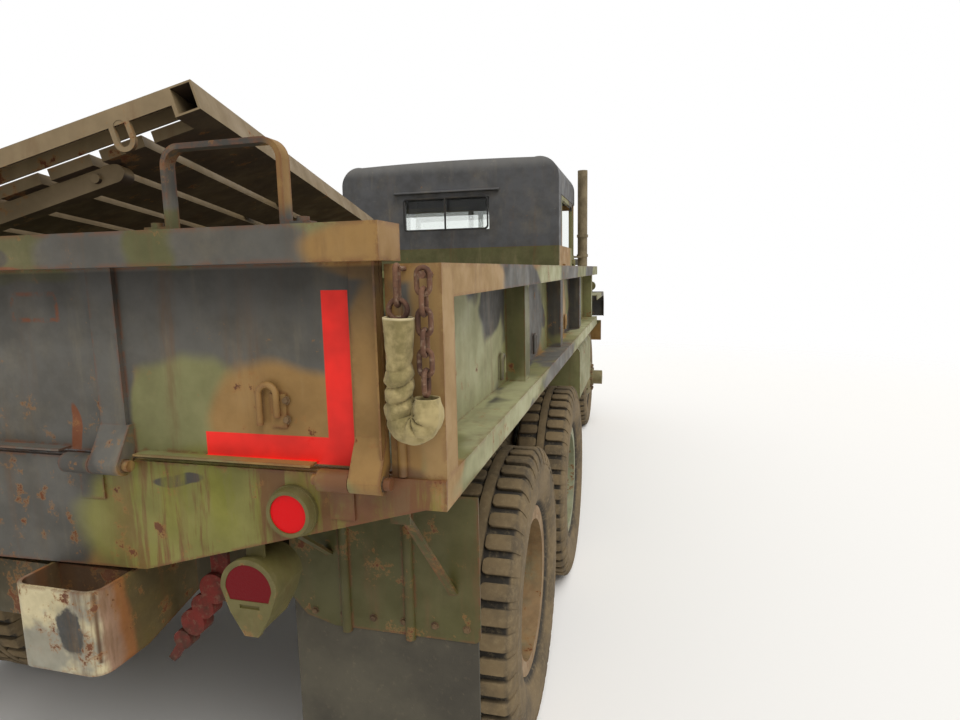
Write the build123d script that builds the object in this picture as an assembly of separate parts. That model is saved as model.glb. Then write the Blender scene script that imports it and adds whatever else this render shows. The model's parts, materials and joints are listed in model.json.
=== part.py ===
from build123d import *
import math
import os

# Military cargo truck, 6x6, steel drop-gate cargo body, closed cab with a hard top.
# Millimetres. X to the right, Y forward, Z up, origin on the ground under the middle.

# Clearances: turning on a pin, and moving past a neighbour
RUNNING_GAP = 0.6
MOVING_GAP = 6.0

# Layout along the truck
PINTLE_REACH = 250.0
REAR_OVERHANG = 1104.0
TANDEM_SPACING = 1219.0
WHEELBASE = 3912.0
FRONT_OVERHANG = 849.5
OVERALL_LENGTH = PINTLE_REACH + REAR_OVERHANG + TANDEM_SPACING / 2 + WHEELBASE + FRONT_OVERHANG
REAR_TIP = -OVERALL_LENGTH / 2
FRONT_TIP = OVERALL_LENGTH / 2
BED_REAR = REAR_TIP + PINTLE_REACH
REAR_AXLE_Y = BED_REAR + REAR_OVERHANG
MID_AXLE_Y = REAR_AXLE_Y + TANDEM_SPACING
TRUNNION_Y = REAR_AXLE_Y + TANDEM_SPACING / 2
FRONT_AXLE_Y = TRUNNION_Y + WHEELBASE

# Tyres and rims
TYRE_RADIUS = 510.0
TYRE_WIDTH = 259.0
TREAD_WIDTH = 206.0
SHOULDER_DROP = 16.0
SIDEWALL_LOW = 335.0
SIDEWALL_WIDE = 400.0
BEAD_RADIUS = 254.0
RIM_FLANGE_RADIUS = 293.0
RIM_WIDTH = 178.0
RIM_FLANGE = 8.0
RIM_WALL = 9.0
DISC_OFFSET = 146.0
DISC_WALL = 12.0
DISC_FLAT_RADIUS = 150.0
HUB_BORE_RADIUS = 90.0
HAND_HOLES = 5
HAND_HOLE_RADIUS = 24.0
HAND_HOLE_CIRCLE = 196.0
AXLE_Z = TYRE_RADIUS
DUAL_OUTER_X = 1075.0
DUAL_SPACING = 2 * DISC_OFFSET
DUAL_PLANE_X = DUAL_OUTER_X - DISC_OFFSET
FRONT_TYRE_X = 890.0
FRONT_PLANE_X = FRONT_TYRE_X + DISC_OFFSET
REAR_HUB_END_X = 1050.0
REAR_CAP_RADIUS = 62.0
FRONT_CAP_RADIUS = 72.0
FRONT_HUB_END_X = 1150.0
DRUM_RADIUS = 205.0
REAR_DRUM_X = 622.0
FRONT_DRUM_X = 800.0
DRUM_DEPTH = 150.0
SPINDLE_RADIUS = 42.0

# Frame
RAIL_X = 432.0
RAIL_FLANGE = 76.0
RAIL_WALL = 8.0
RAIL_TOP = 1050.0
RAIL_HEIGHT = 205.0
RAIL_BOTTOM = RAIL_TOP - RAIL_HEIGHT
RAIL_REAR = BED_REAR + 20.0
CROSSMEMBER_HEIGHT = 130.0
CROSSMEMBER_FLANGE = 60.0
CROSSMEMBER_YS = (RAIL_REAR, BED_REAR + 620.0, TRUNNION_Y - 90.0, TRUNNION_Y + 1000.0,
                  TRUNNION_Y + 1880.0, FRONT_AXLE_Y + 560.0)

# Bumper, bumperettes and pintle hook
BUMPER_HALF_WIDTH = 1090.0
BUMPER_HEIGHT = 230.0
BUMPER_BOTTOM = 825.0
BUMPER_DEPTH = 90.0
BUMPER_WALL = 10.0
BUMPER_SWEEP = 90.0
BUMPER_SWEEP_FROM = 760.0
TOW_EYE_BORE = 34.0
TOW_EYE_RADIUS = 38.0
TOW_EYE_WALL = 26.0
TOW_EYE_RISE = 55.0
BUMPERETTE_IN = 326.0
BUMPERETTE_OUT = 534.0
BUMPERETTE_BOTTOM = 880.0
BUMPERETTE_TOP = 1055.0
BUMPERETTE_REAR = BED_REAR - 100.0
BUMPERETTE_WALL = 8.0
BUMPERETTE_BEND = 34.0
BUMPERETTE_FRONT = BED_REAR + 180.0
BUMPERETTE_RISE_Y = BED_REAR + 20.0
BUMPERETTE_RISE = 40.0
PINTLE_Z = 940.0

# Axles, springs and steering
AXLE_TUBE_RADIUS = 60.0
DIFF_RADIUS = 185.0
NOSE_REACH = 205.0
BACKPLATE_WALL = 8.0
BALL_RADIUS = 82.0
BALL_TO_PLATE = 4.0
KINGPIN_X = FRONT_DRUM_X - MOVING_GAP - BACKPLATE_WALL - BALL_TO_PLATE - BALL_RADIUS
KNUCKLE_WALL = 14.0
STEER_LIMIT = 28.0
TRUNNION_Z = 640.0
TRUNNION_RADIUS = 45.0
FRONT_SPRING_X = 394.0
REAR_SPRING_X = 460.0
LEAF_WIDTH = 64.0
LEAF_THICK = 11.0
TIE_ARM_LENGTH = 240.0
TIE_ROD_RADIUS = 19.0
TIE_ROD_Z = AXLE_Z - 95.0
TIE_ARM_HIGH = 20.0
TIE_ARM_LOW = 45.0
TIE_ARM_HALF = 22.0
KINGPIN_CAP_RADIUS = 34.0
KINGPIN_CAP_HEIGHT = 36.0
SPINDLE_SHORT = 40.0
DIFF_HALF = 130.0
AXLE_CONE_RADIUS = 120.0
AXLE_CONE_LENGTH = 180.0
NOSE_START = 60.0
NOSE_WIDE = 105.0
NOSE_NARROW = 60.0
BITE = 5.0
SPRING_RISE = 75.0
FRONT_LEAVES = 7
FRONT_SPRING_HALF = 600.0
FRONT_CAMBER = 90.0
HANGER_HALF = 30.0
SPRING_SEAT_HALF = 60.0
REAR_LEAVES = 9
REAR_SPRING_PAST = 40.0
REAR_CAMBER = -90.0
TRUNNION_PAST = 20.0
SADDLE_HALF = 75.0
AXLE_PAD_HALF = 45.0

# Cargo body
BED_LENGTH = 3760.0
BED_HALF = 1219.0
SHELF_WIDTH = 99.0
PANEL_X = BED_HALF - SHELF_WIDTH
SHEET = 3.0
SHELF_TOP = 1298.0
DECK_WALL = 4.0
DECK_GAP = 1.0
FLOOR_TOP = SHELF_TOP + DECK_WALL
SHELF_LIP_BOTTOM = 1240.0
SIDE_TOP = 1669.0
SIDE_RAIL_HEIGHT = 59.0
CORNER_POST_WIDTH = 68.0
POST_PITCH = 905.0
POST_FIRST = 955.0
POST_COUNT = 4
POST_WIDTH = 84.0
POST_INSET = 36.0
POST_OUT = BED_HALF - POST_INSET
STAKE_SIDE_X = 40.0
STAKE_SIDE_Y = 62.0
SILL_HEIGHT = 118.0
SILL_FLANGE = 55.0
SILL_COUNT = 8
SILL_FIRST = 50.0
LONG_SILL_WIDTH = 80.0
SILL_WALL = 5.0
RIB_DEPTH = 34.0
RIB_HALF = 40.0
RIB_XS = (-560.0, 0.0, 560.0)
CAP_DEPTH = 60.0
BED_FRONT = BED_REAR + BED_LENGTH

# Rope hooks: a riveted plate and a bent rod; the walls' places are from the rear of the body
ROPE_HOOK_PLATE = 32.0
ROPE_HOOK_HEIGHT = 62.0
ROPE_HOOK_WALL = 5.0
ROPE_HOOK_BEND = 18.0
ROPE_HOOK_ROD = 6.0
WALL_HOOK_YS = (880.0, 1485.0, 2530.0)
WALL_HOOK_Z = SHELF_TOP + 20.0

# Guide bar, tailgate chains and their canvas sleeves at the rear corners
GUIDE_X = PANEL_X + 18.0
GUIDE_RADIUS = 9.0
GUIDE_TOP = 1600.0
CHAIN_BAR = 9.0
LINK_LENGTH = 52.0
LINK_WIDTH = 31.0
LINK_GAP = 0.6
LINK_COUNT = 6
CHAIN_X = BED_HALF - 20.0
CHAIN_TOP_Z = 1640.0
CHAIN_OFF = 35.0
RING_X = PANEL_X + 34.0
RING_Z = 1608.0
RING_RADIUS = 21.0
LONG_LINK_LENGTH = 60.0
LONG_LINK_WIDTH = 22.0
SLEEVE_RADIUS = 20.0
SLEEVE_BEND = 24.5
SLEEVE_BEND_Z = 1418.0
SLEEVE_END_Z = 1452.0
SLEEVE_TOP_X = PANEL_X + 35.0
SLEEVE_TOP_Z = 1582.0
SLEEVE_MOUTH = 26.0
SLEEVE_RECESS = 20.0

# Tailgate, hinges and rear sill
GATE_SIDE_GAP = 8.0
GATE_HALF = PANEL_X - GATE_SIDE_GAP
GATE_BOTTOM = FLOOR_TOP + MOVING_GAP
GATE_PLATE_TOP = 1674.0
GATE_RAIL_TOP = 1737.0
GATE_RAIL_HALF = PANEL_X + 15.0
GATE_RAIL_REAR = -61.0
GATE_RAIL_FRONT = 32.0
GATE_WALL = 4.0
GATE_LIP = 30.0
SILL_PLATE_WALL = 6.0
PIN_RADIUS = 8.0
BARREL_RADIUS = 20.0
HINGE_GAP = 5.0
PIN_Y = BED_REAR - SILL_PLATE_WALL - HINGE_GAP - BARREL_RADIUS
PIN_Z = 1292.0
PIN_HEAD = 14.0
HINGE_PLATE_BOTTOM = 1211.0
# Middle X and half width of each hinge on the right half
HINGES = ((GATE_HALF - 59.0, 61.0), (GATE_HALF - 612.0, 70.0))
# Middle X and width of each strap on the right half
STRAPS = ((GATE_HALF - 28.0, 58.0), (GATE_HALF - 580.0, 60.0))
STRAP_THICK = 10.0
STRAP_OVERLAP = 40.0
STRAP_BEND_Z = GATE_BOTTOM + 60.0
STEP_OUT = GATE_HALF - 166.0
STEP_IN = STEP_OUT - 244.0
STEP_TOP = 1888.0
STEP_BAR = 10.0
STEP_DEPTH = 27.0
STEP_BEND = 38.0
STEP_REAR = BED_REAR - 18.0
STEP_FOOT = 46.0
STEP_FOOT_WALL = 8.0
STEP_BOLT_RADIUS = 11.0
STEP_BOLT_REACH = 27.6
HOOK_X = GATE_HALF - 212.0
HOOK_Z = GATE_BOTTOM + 69.0
APRON_CENTRE_Z = 1050.0
APRON_BEND_X = 572.0
APRON_BEND_Z = 1066.0
APRON_TIP_X = BED_HALF - 39.0

# Stowed seat rack: where its rear right corner is, and which way its slats and its top face
RACK_PLACE = (628.0, BED_REAR + 112.5, 2027.0)
RACK_ACROSS = (0.92493, 0.23272, 0.30057)
RACK_UP = (-0.30847, -0.0026, 0.95123)
RACK_LENGTH = 1800.0
RACK_WIDTH = 700.0
RACK_WALL = 4.0
RACK_END_DEPTH = 70.0
RACK_END_HEIGHT = 35.0
RACK_RAIL_WIDTH = 45.0
RACK_SLATS = 6
RACK_SLAT = 25.0
RACK_SLAT_WIDTH = 98.0
RACK_SLAT_PITCH = 120.0
RACK_SLAT_START = 75.0
RACK_HOOK_X = 122.0
RACK_LOOP = 74.0
RACK_LOOP_ROD = 5.0
RACK_ARM = 40.0
RACK_ARM_X = 215.0
RACK_ARM_LEFT = 560.0
GATE_TO_RACK = 10.0
RACK_FOOT = 40.0
DECK_TO_RACK = 3.0
RACK_LOOP_WIDTH = 44.0

# Mudguards, lamps
GUARD_Y = BED_REAR + 250.0
GUARD_OUT = BED_HALF - 12.0
GUARD_IN = GUARD_OUT - 465.0
GUARD_BOTTOM = 830.0
GUARD_WALL = 4.0
GUARD_HANG = 6.0
GUARD_CORNER = 18.0
GUARD_CUT = 110.0
GUARD_CUT_RISE = 60.0
GUARD_RIB_XS = (GUARD_IN + 141.0, GUARD_IN + 299.0)
GUARD_RIB_RADIUS = 12.0
GUARD_RIB_DROP = 8.0
STAY_TOP_X = GUARD_OUT - 102.0
STAY_LOW_X = GUARD_OUT - 61.0
STAY_LOW_Z = 945.0
BRACE_TOP_X = GUARD_IN + 52.0
BRACE_LOW_X = GUARD_IN + 104.0
BRACE_LOW_Z = 1010.0
STAY_WIDTH = 20.0
STAY_WALL = 6.0
STAY_TAB = 30.0
FLAP_BOTTOM = 450.0
FLAP_WALL = 7.0
TAIL_LAMP_X = GUARD_IN + 68.0
TAIL_LAMP_Z = 1050.0
TAIL_LAMP_RADIUS = 58.0
TAIL_LAMP_BOTTOM = 956.0
TAIL_LAMP_DEPTH = 92.0
TAIL_BEZEL = 4.0
LENS_WALL = 3.0
LENS_INSET = 7.0
LENS_BOTTOM = TAIL_LAMP_Z - 24.0
REFLECTOR_X = TAIL_LAMP_X + 110.0
REFLECTOR_Z = 1220.0
REFLECTOR_RADIUS = 37.0
REFLECTOR_RIM = 44.0
REFLECTOR_BASE = 50.0
REFLECTOR_DEPTH = 24.0
COUPLING_TOP = (664.0, 100.0, 1000.0)
COUPLING_FOOT = (520.0, 100.0, 795.0)
COUPLING_RADIUS = 17.0
# Share of the way down and radius of each knob
COUPLING_KNOBS = ((0.08, 34.0), (0.3, 28.0), (0.5, 30.0), (0.72, 22.0))
COUPLING_KNOB_HALF = 16.0
COUPLING_STRAP_HALF = 22.0
COUPLING_STRAP_WALL = 8.0
REFLECTOR_FOOT = 8.0
LAMP_FACE = 10.0
LAMP_BACK = 6.0
LAMP_SLOT_HALF = 22.0
LAMP_STRAP_HALF = 20.0
LAMP_STRAP_WALL = 6.0
LENS_PLAY = 0.3

# Cab
CAB_HALF = 912.0
CAB_REAR = BED_REAR + 3936.0
CAB_WALL = 20.0
CAB_FLOOR = 1180.0
SEAT_REAR = CAB_REAR + 60.0
SEAT_DEPTH = 500.0
SEAT_BOX_TOP = CAB_FLOOR + 260.0
# Left and right end of the driver's and of the companions' seat box
SEAT_BOXES = ((-780.0, -260.0), (-60.0, 780.0))
CUSHION_INSET = 10.0
CUSHION_DEPTH = 400.0
CUSHION_HEIGHT = 110.0
BACK_TO_BOX = 4.0
BACK_DEPTH = 80.0
BACK_HEIGHT = 500.0
CUSHION_ROUND = 24.0
DASH_INSET = 20.0
DASH_DEPTH = 100.0
DASH_HEIGHT = 160.0
DASH_DROP = 30.0
WHEEL_X = -500.0
WHEEL_TO_COWL = 330.0
WHEEL_Z = 1700.0
WHEEL_TILT = 38.0
WHEEL_RADIUS = 225.0
WHEEL_ROD = 12.0
WHEEL_SPOKES = 3
SPOKE_WIDTH = 22.0
SPOKE_WALL = 10.0
WHEEL_HUB_RADIUS = 38.0
WHEEL_HUB_HEIGHT = 40.0
COLUMN_RADIUS = 20.0
COLUMN_LENGTH = 400.0
BELT_Z = 1840.0
COWL_Y = CAB_REAR + 1076.0
COWL_TOP = 1780.0
WINDSHIELD_Y = CAB_REAR + 1110.0
COWL_FRONT = WINDSHIELD_Y + 20.0
DOOR_REAR = CAB_REAR + 170.0
DOOR_FRONT = CAB_REAR + 965.0
DOOR_BOTTOM = 1236.0
DOOR_WALL = 30.0
DOOR_GAP = 6.0
DOOR_HEAD = 2246.0
WINDSHIELD_TOP = DOOR_HEAD
DOOR_POST = 34.0
DOOR_PIN_X = CAB_HALF + 17.0
DOOR_PIN_Y = DOOR_FRONT + DOOR_GAP / 2
DOOR_PIN_RADIUS = 6.0
DOOR_BARREL_RADIUS = 11.0
DOOR_HINGE_ZS = (1370.0, 1700.0)
DOOR_HINGE_HALF = 38.0
DOOR_LEAF = 42.0
ROOF_SEAM = 2370.0
ROOF_TOP = 2530.0
ROOF_CORNER = 190.0
REAR_WINDOW_HALF = 355.0
REAR_WINDOW_BOTTOM = 1985.0
REAR_WINDOW_TOP = 2240.0
LEDGE_RISE = 40.0
LEDGE_REACH = 40.0
LEDGE_HALF = 440.0
GLASS = 6.0
PANE_GAP = 0.2
WINDSHIELD_DEPTH = 30.0
MULLION_HALF = 22.0
WINDSHIELD_EDGE = 44.0
WINDSHIELD_SILL = 60.0
WINDSHIELD_HEAD = 46.0
HANDLE_REACH = 22.0
HANDLE_START = 70.0
HANDLE_LENGTH = 120.0
HANDLE_HEIGHT = 25.0
HANDLE_DROP = 145.0
MIRROR_X = 1120.0
MIRROR_ROD = 9.0
MIRROR_ARM_Z = 1735.0
MIRROR_TOP = 2050.0
MIRROR_HALF_WIDTH = 80.0
MIRROR_HEAD_BOTTOM = 1790.0
MIRROR_HEAD_TOP = 2040.0
MIRROR_HEAD_DEPTH = 28.0
MIRROR_PAD = 12.0
MIRROR_PAD_MARGIN = 10.0

# Hood, fenders and grille
HOOD_REAR = CAB_REAR + 1140.0
HOOD_FRONT = FRONT_AXLE_Y + 607.0
HOOD_REAR_HALF = 560.0
HOOD_FRONT_HALF = 405.0
HOOD_REAR_TOP = 1772.0
HOOD_PIVOT_Z = 1775.0
HOOD_FRONT_TOP = 1690.0
HOOD_SKIRT = 1420.0
HOOD_WALL = 6.0
HOOD_BEND = 90.0
FENDER_OUT = 1130.0
FENDER_IN = 500.0
FENDER_TOP = 1400.0
FENDER_REAR = COWL_FRONT
FENDER_FRONT = FRONT_AXLE_Y + 600.0
FENDER_WALL = 5.0
FENDER_NOSE_Z = 1120.0
GRILLE_Y = HOOD_FRONT + MOVING_GAP
GRILLE_DEPTH = 40.0
GRILLE_RETURN = 60.0
GRILLE_HALF = 425.0
GRILLE_BOTTOM = 1062.0
GRILLE_TOP = HOOD_FRONT_TOP
GRILLE_BARS = 13
HEADLAMP_X = 640.0
HEADLAMP_Z = 1235.0
HEADLAMP_RADIUS = 90.0
TURN_LAMP_X = FENDER_OUT - 130.0
TURN_LAMP_Y = FENDER_FRONT - 230.0
TURN_LAMP_RADIUS = 50.0
TURN_LAMP_HALF = 40.0
TURN_LAMP_STEM = 18.0

# Engine and driveline
ENGINE_HALF = 300.0
ENGINE_BOTTOM = 760.0
ENGINE_TOP = 1420.0
ENGINE_REAR = COWL_Y + 12.0
ENGINE_FRONT = FRONT_AXLE_Y + 290.0
RADIATOR_MARGIN = 40.0
RADIATOR_TO_GRILLE = 40.0
RADIATOR_DEPTH = 70.0
RADIATOR_BOTTOM = 1070.0
RADIATOR_DROP = 80.0
GEARBOX_HALF = 160.0
GEARBOX_LENGTH = 520.0
GEARBOX_BOTTOM = 830.0
GEARBOX_TOP = 1130.0
CASE_HALF = 190.0
CASE_FRONT = TRUNNION_Y + 2360.0
CASE_LENGTH = 360.0
CASE_BOTTOM = 660.0
CASE_TOP = 1010.0
INPUT_RADIUS = 42.0
INPUT_Z = 950.0
SHAFT_RADIUS = 38.0
REAR_OUTPUT_Z = 740.0
FRONT_OUTPUT_Z = 720.0
SHAFT_BITE = 10.0

# Stack and tanks
STACK_X = 985.0
STACK_Y = FENDER_REAR + 60.0
STACK_RADIUS = 46.0
STACK_TOP = 2570.0
STACK_CLAMP_ZS = (1765.0, 1950.0)
TANK_FRONT = CAB_REAR - 40.0
TANK_REAR = TANK_FRONT - 850.0
TANK_IN = 560.0
TANK_OUT = BED_HALF - 59.0
TANK_BOTTOM = 765.0
TANK_TOP = 1160.0
SPARE_X = BED_HALF - 419.0
SPARE_Y = MID_AXLE_Y + 1085.0
SPARE_Z = 704.0
CARRIER_WALL = 12.0
CARRIER_HALF = 60.0
SPARE_STUD_RADIUS = 30.0
SPARE_CLAMP_PAST = 22.0
TANK_BEND = 60.0
TANK_ARM_IN = 150.0
TANK_ARM_WIDTH = 60.0
TANK_ARM_INSET = 120.0
STEP_BOX_REAR = CAB_REAR + 180.0
STEP_BOX_LENGTH = 640.0
STEP_BOX_OUT = 900.0
STEP_BOX_BOTTOM = 740.0
STEP_BOX_TOP = 1100.0
TREAD_IN = 860.0
TREAD_OUT = 1040.0
TREAD_Z = 700.0
TREAD_WALL = 16.0
BOX_ARM_IN = 60.0
BOX_ARM_WIDTH = 50.0
BOX_ARM_BOTTOM = 900.0
BOX_ARM_TOP = 1000.0
AIR_TANK_X = 260.0
AIR_TANK_Z = 900.0
AIR_TANK_RADIUS = 95.0
AIR_TANK_REAR = TRUNNION_Y + 1150.0
AIR_TANK_LENGTH = 600.0
AIR_HANGER_HALF = 60.0
AIR_HANGER_START = 250.0
AIR_HANGER_WIDTH = 50.0
AIR_HANGER_WALL = 30.0
CLEANER_X = 800.0
CLEANER_Y = FRONT_AXLE_Y - 250.0
# Bottom, top and radius of the canister, its neck and the cap, above the fender
CLEANER = ((0.0, 230.0, 150.0), (230.0, 290.0, 70.0), (290.0, 350.0, 125.0))


def block(x0, x1, y0, y1, z0, z1):
    size = (x1 - x0, y1 - y0, z1 - z0)
    return Pos((x0 + x1) / 2, (y0 + y1) / 2, (z0 + z1) / 2) * Box(*size)


def along_x(points, x0, x1):
    """Prism of a (y, z) outline from x0 to x1."""
    face = make_face(Polyline(*points, close=True))
    return extrude(Plane.YZ.offset(x0) * face, x1 - x0)


def along_y(points, y0, y1):
    """Prism of an (x, z) outline from y0 to y1."""
    face = make_face(Polyline(*points, close=True))
    plane = Plane(origin=(0, y1, 0), x_dir=(1, 0, 0), z_dir=(0, -1, 0))
    return extrude(plane * face, y1 - y0)


def rod_x(x0, x1, y, z, radius):
    return Pos((x0 + x1) / 2, y, z) * Rot(0, 90, 0) * Cylinder(radius, x1 - x0)


def rod_y(x, y0, y1, z, radius):
    return Pos(x, (y0 + y1) / 2, z) * Rot(90, 0, 0) * Cylinder(radius, y1 - y0)


def rod_z(x, y, z0, z1, radius):
    return Pos(x, y, (z0 + z1) / 2) * Cylinder(radius, z1 - z0)


def rod_between(start, end, radius):
    a = Vector(*start)
    b = Vector(*end)
    plane = Plane(origin=a, z_dir=(b - a).normalized())
    return extrude(plane * Circle(radius), (b - a).length)


def bar_between(start, end, width, thick):
    """Flat bar along a slanting line, its width kept level along X."""
    a = Vector(*start)
    b = Vector(*end)
    plane = Plane(origin=a, x_dir=(1, 0, 0), z_dir=(b - a).normalized())
    return extrude(plane * Rectangle(width, thick), (b - a).length)


def turned(points):
    """Solid turned about the X axis from an (x, radius) outline."""
    return revolve(make_face(Polyline(*points, close=True)), Axis.X)


def fused(shapes):
    whole = shapes[0]
    for shape in shapes[1:]:
        whole = whole + shape
    return whole


def mirrored(shape):
    return mirror(shape, about=Plane.YZ)


def both_sides(shape):
    return Compound(children=[shape, mirrored(shape)])


def save(name, shape):
    export_step(shape, "parts/" + name + ".step")


# Wheels

def tyre(x):
    """One tyre with its middle plane at x, about the axle line at the origin."""
    half = TYRE_WIDTH / 2
    tread = TREAD_WIDTH / 2
    bead = RIM_WIDTH / 2
    shoulder = TYRE_RADIUS - SHOULDER_DROP
    edge = [
        Line((-bead, BEAD_RADIUS), (bead, BEAD_RADIUS)),
        Line((bead, BEAD_RADIUS), (bead, RIM_FLANGE_RADIUS)),
        Line((bead, RIM_FLANGE_RADIUS), (half - 9, SIDEWALL_LOW)),
        Line((half - 9, SIDEWALL_LOW), (half, SIDEWALL_WIDE)),
        Line((half, SIDEWALL_WIDE), (tread + 12, shoulder)),
        Line((tread + 12, shoulder), (tread, TYRE_RADIUS)),
        Line((tread, TYRE_RADIUS), (-tread, TYRE_RADIUS)),
        Line((-tread, TYRE_RADIUS), (-tread - 12, shoulder)),
        Line((-tread - 12, shoulder), (-half, SIDEWALL_WIDE)),
        Line((-half, SIDEWALL_WIDE), (-half + 9, SIDEWALL_LOW)),
        Line((-half + 9, SIDEWALL_LOW), (-bead, RIM_FLANGE_RADIUS)),
        Line((-bead, RIM_FLANGE_RADIUS), (-bead, BEAD_RADIUS)),
    ]
    return Pos(x, 0, 0) * revolve(make_face(edge), Axis.X)


def rim(x, side):
    """Rim and dished disc; side is +1 when the disc sits outboard of the middle plane."""
    half = RIM_WIDTH / 2
    outer = half + RIM_FLANGE
    well = BEAD_RADIUS - RIM_WALL
    barrel = turned([(-outer, RIM_FLANGE_RADIUS), (-half, RIM_FLANGE_RADIUS), (-half, BEAD_RADIUS),
                     (half, BEAD_RADIUS), (half, RIM_FLANGE_RADIUS), (outer, RIM_FLANGE_RADIUS),
                     (outer, well), (-outer, well)])
    face = side * DISC_OFFSET
    back = side * (DISC_OFFSET - DISC_WALL)
    root = side * 40.0
    disc = turned([(face, HUB_BORE_RADIUS), (face, DISC_FLAT_RADIUS), (root + side * DISC_WALL * 2, well),
                   (root, well), (back, DISC_FLAT_RADIUS - DISC_WALL), (back, HUB_BORE_RADIUS)])
    holes = []
    for i in range(HAND_HOLES):
        angle = math.radians(360.0 * i / HAND_HOLES)
        holes.append(rod_x(-DISC_OFFSET, DISC_OFFSET, HAND_HOLE_CIRCLE * math.cos(angle),
                           HAND_HOLE_CIRCLE * math.sin(angle), HAND_HOLE_RADIUS))
    return Pos(x, 0, 0) * (barrel + (disc - fused(holes)))


def drum(x):
    """Brake drum, open inboard."""
    return turned([(x, DRUM_RADIUS), (x + DRUM_DEPTH, DRUM_RADIUS), (x + DRUM_DEPTH, SPINDLE_RADIUS + 20),
                   (x + DRUM_DEPTH - 16, SPINDLE_RADIUS + 20), (x + DRUM_DEPTH - 16, DRUM_RADIUS - 14),
                   (x, DRUM_RADIUS - 14)])


def hub(start, shoulder, end, radius, cap_radius):
    bore = SPINDLE_RADIUS + RUNNING_GAP
    return turned([(start, bore), (start, radius), (shoulder, radius), (shoulder, cap_radius),
                   (end, cap_radius), (end, 0), (end - 14, 0), (end - 14, bore)])


def rear_wheel():
    tyres = Compound(children=[tyre(DUAL_OUTER_X), tyre(DUAL_OUTER_X - DUAL_SPACING)])
    steel = rim(DUAL_OUTER_X, -1) + rim(DUAL_OUTER_X - DUAL_SPACING, 1)
    steel = steel + drum(REAR_DRUM_X)
    steel = steel + hub(REAR_DRUM_X + DRUM_DEPTH - 16, DUAL_PLANE_X + 60, REAR_HUB_END_X,
                        HUB_BORE_RADIUS, REAR_CAP_RADIUS)
    return tyres, steel


def front_wheel():
    steel = rim(FRONT_TYRE_X, 1) + drum(FRONT_DRUM_X)
    steel = steel + hub(FRONT_DRUM_X + DRUM_DEPTH - 16, FRONT_PLANE_X + 24, FRONT_HUB_END_X,
                        HUB_BORE_RADIUS, FRONT_CAP_RADIUS)
    return tyre(FRONT_TYRE_X), steel


# Frame and what bolts to it

def frame():
    inner = RAIL_X - RAIL_FLANGE
    web = RAIL_X - RAIL_WALL
    front = FRONT_TIP - BUMPER_WALL
    section = [(RAIL_X, RAIL_BOTTOM), (RAIL_X, RAIL_TOP), (inner, RAIL_TOP), (inner, RAIL_TOP - RAIL_WALL),
               (web, RAIL_TOP - RAIL_WALL), (web, RAIL_BOTTOM + RAIL_WALL), (inner, RAIL_BOTTOM + RAIL_WALL),
               (inner, RAIL_BOTTOM)]
    rail = along_y(section, RAIL_REAR, front)
    pieces = [rail, mirrored(rail)]
    top = RAIL_TOP - 2 * RAIL_WALL
    bottom = top - CROSSMEMBER_HEIGHT
    for y in CROSSMEMBER_YS:
        channel = [(y, bottom), (y, top), (y + CROSSMEMBER_FLANGE, top),
                   (y + CROSSMEMBER_FLANGE, top - RAIL_WALL), (y + RAIL_WALL, top - RAIL_WALL),
                   (y + RAIL_WALL, bottom + RAIL_WALL), (y + CROSSMEMBER_FLANGE, bottom + RAIL_WALL),
                   (y + CROSSMEMBER_FLANGE, bottom)]
        pieces.append(along_x(channel, -web, web))
    for y in (CAB_REAR + 120.0, COWL_Y - 260.0):
        mount = block(RAIL_X - 70, RAIL_X, y, y + 90, RAIL_TOP, CAB_FLOOR - CAB_WALL)
        pieces += [mount, mirrored(mount)]
    trunnion = rod_x(RAIL_X, REAR_SPRING_X + LEAF_WIDTH / 2 + 20, TRUNNION_Y, TRUNNION_Z, TRUNNION_RADIUS)
    bracket = along_x([(TRUNNION_Y - 150, RAIL_BOTTOM + 90), (TRUNNION_Y + 150, RAIL_BOTTOM + 90),
                       (TRUNNION_Y + 70, TRUNNION_Z - 60), (TRUNNION_Y - 70, TRUNNION_Z - 60)],
                      web, RAIL_X)
    pieces += [bracket, mirrored(bracket), trunnion, mirrored(trunnion)]
    return fused(pieces)


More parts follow.
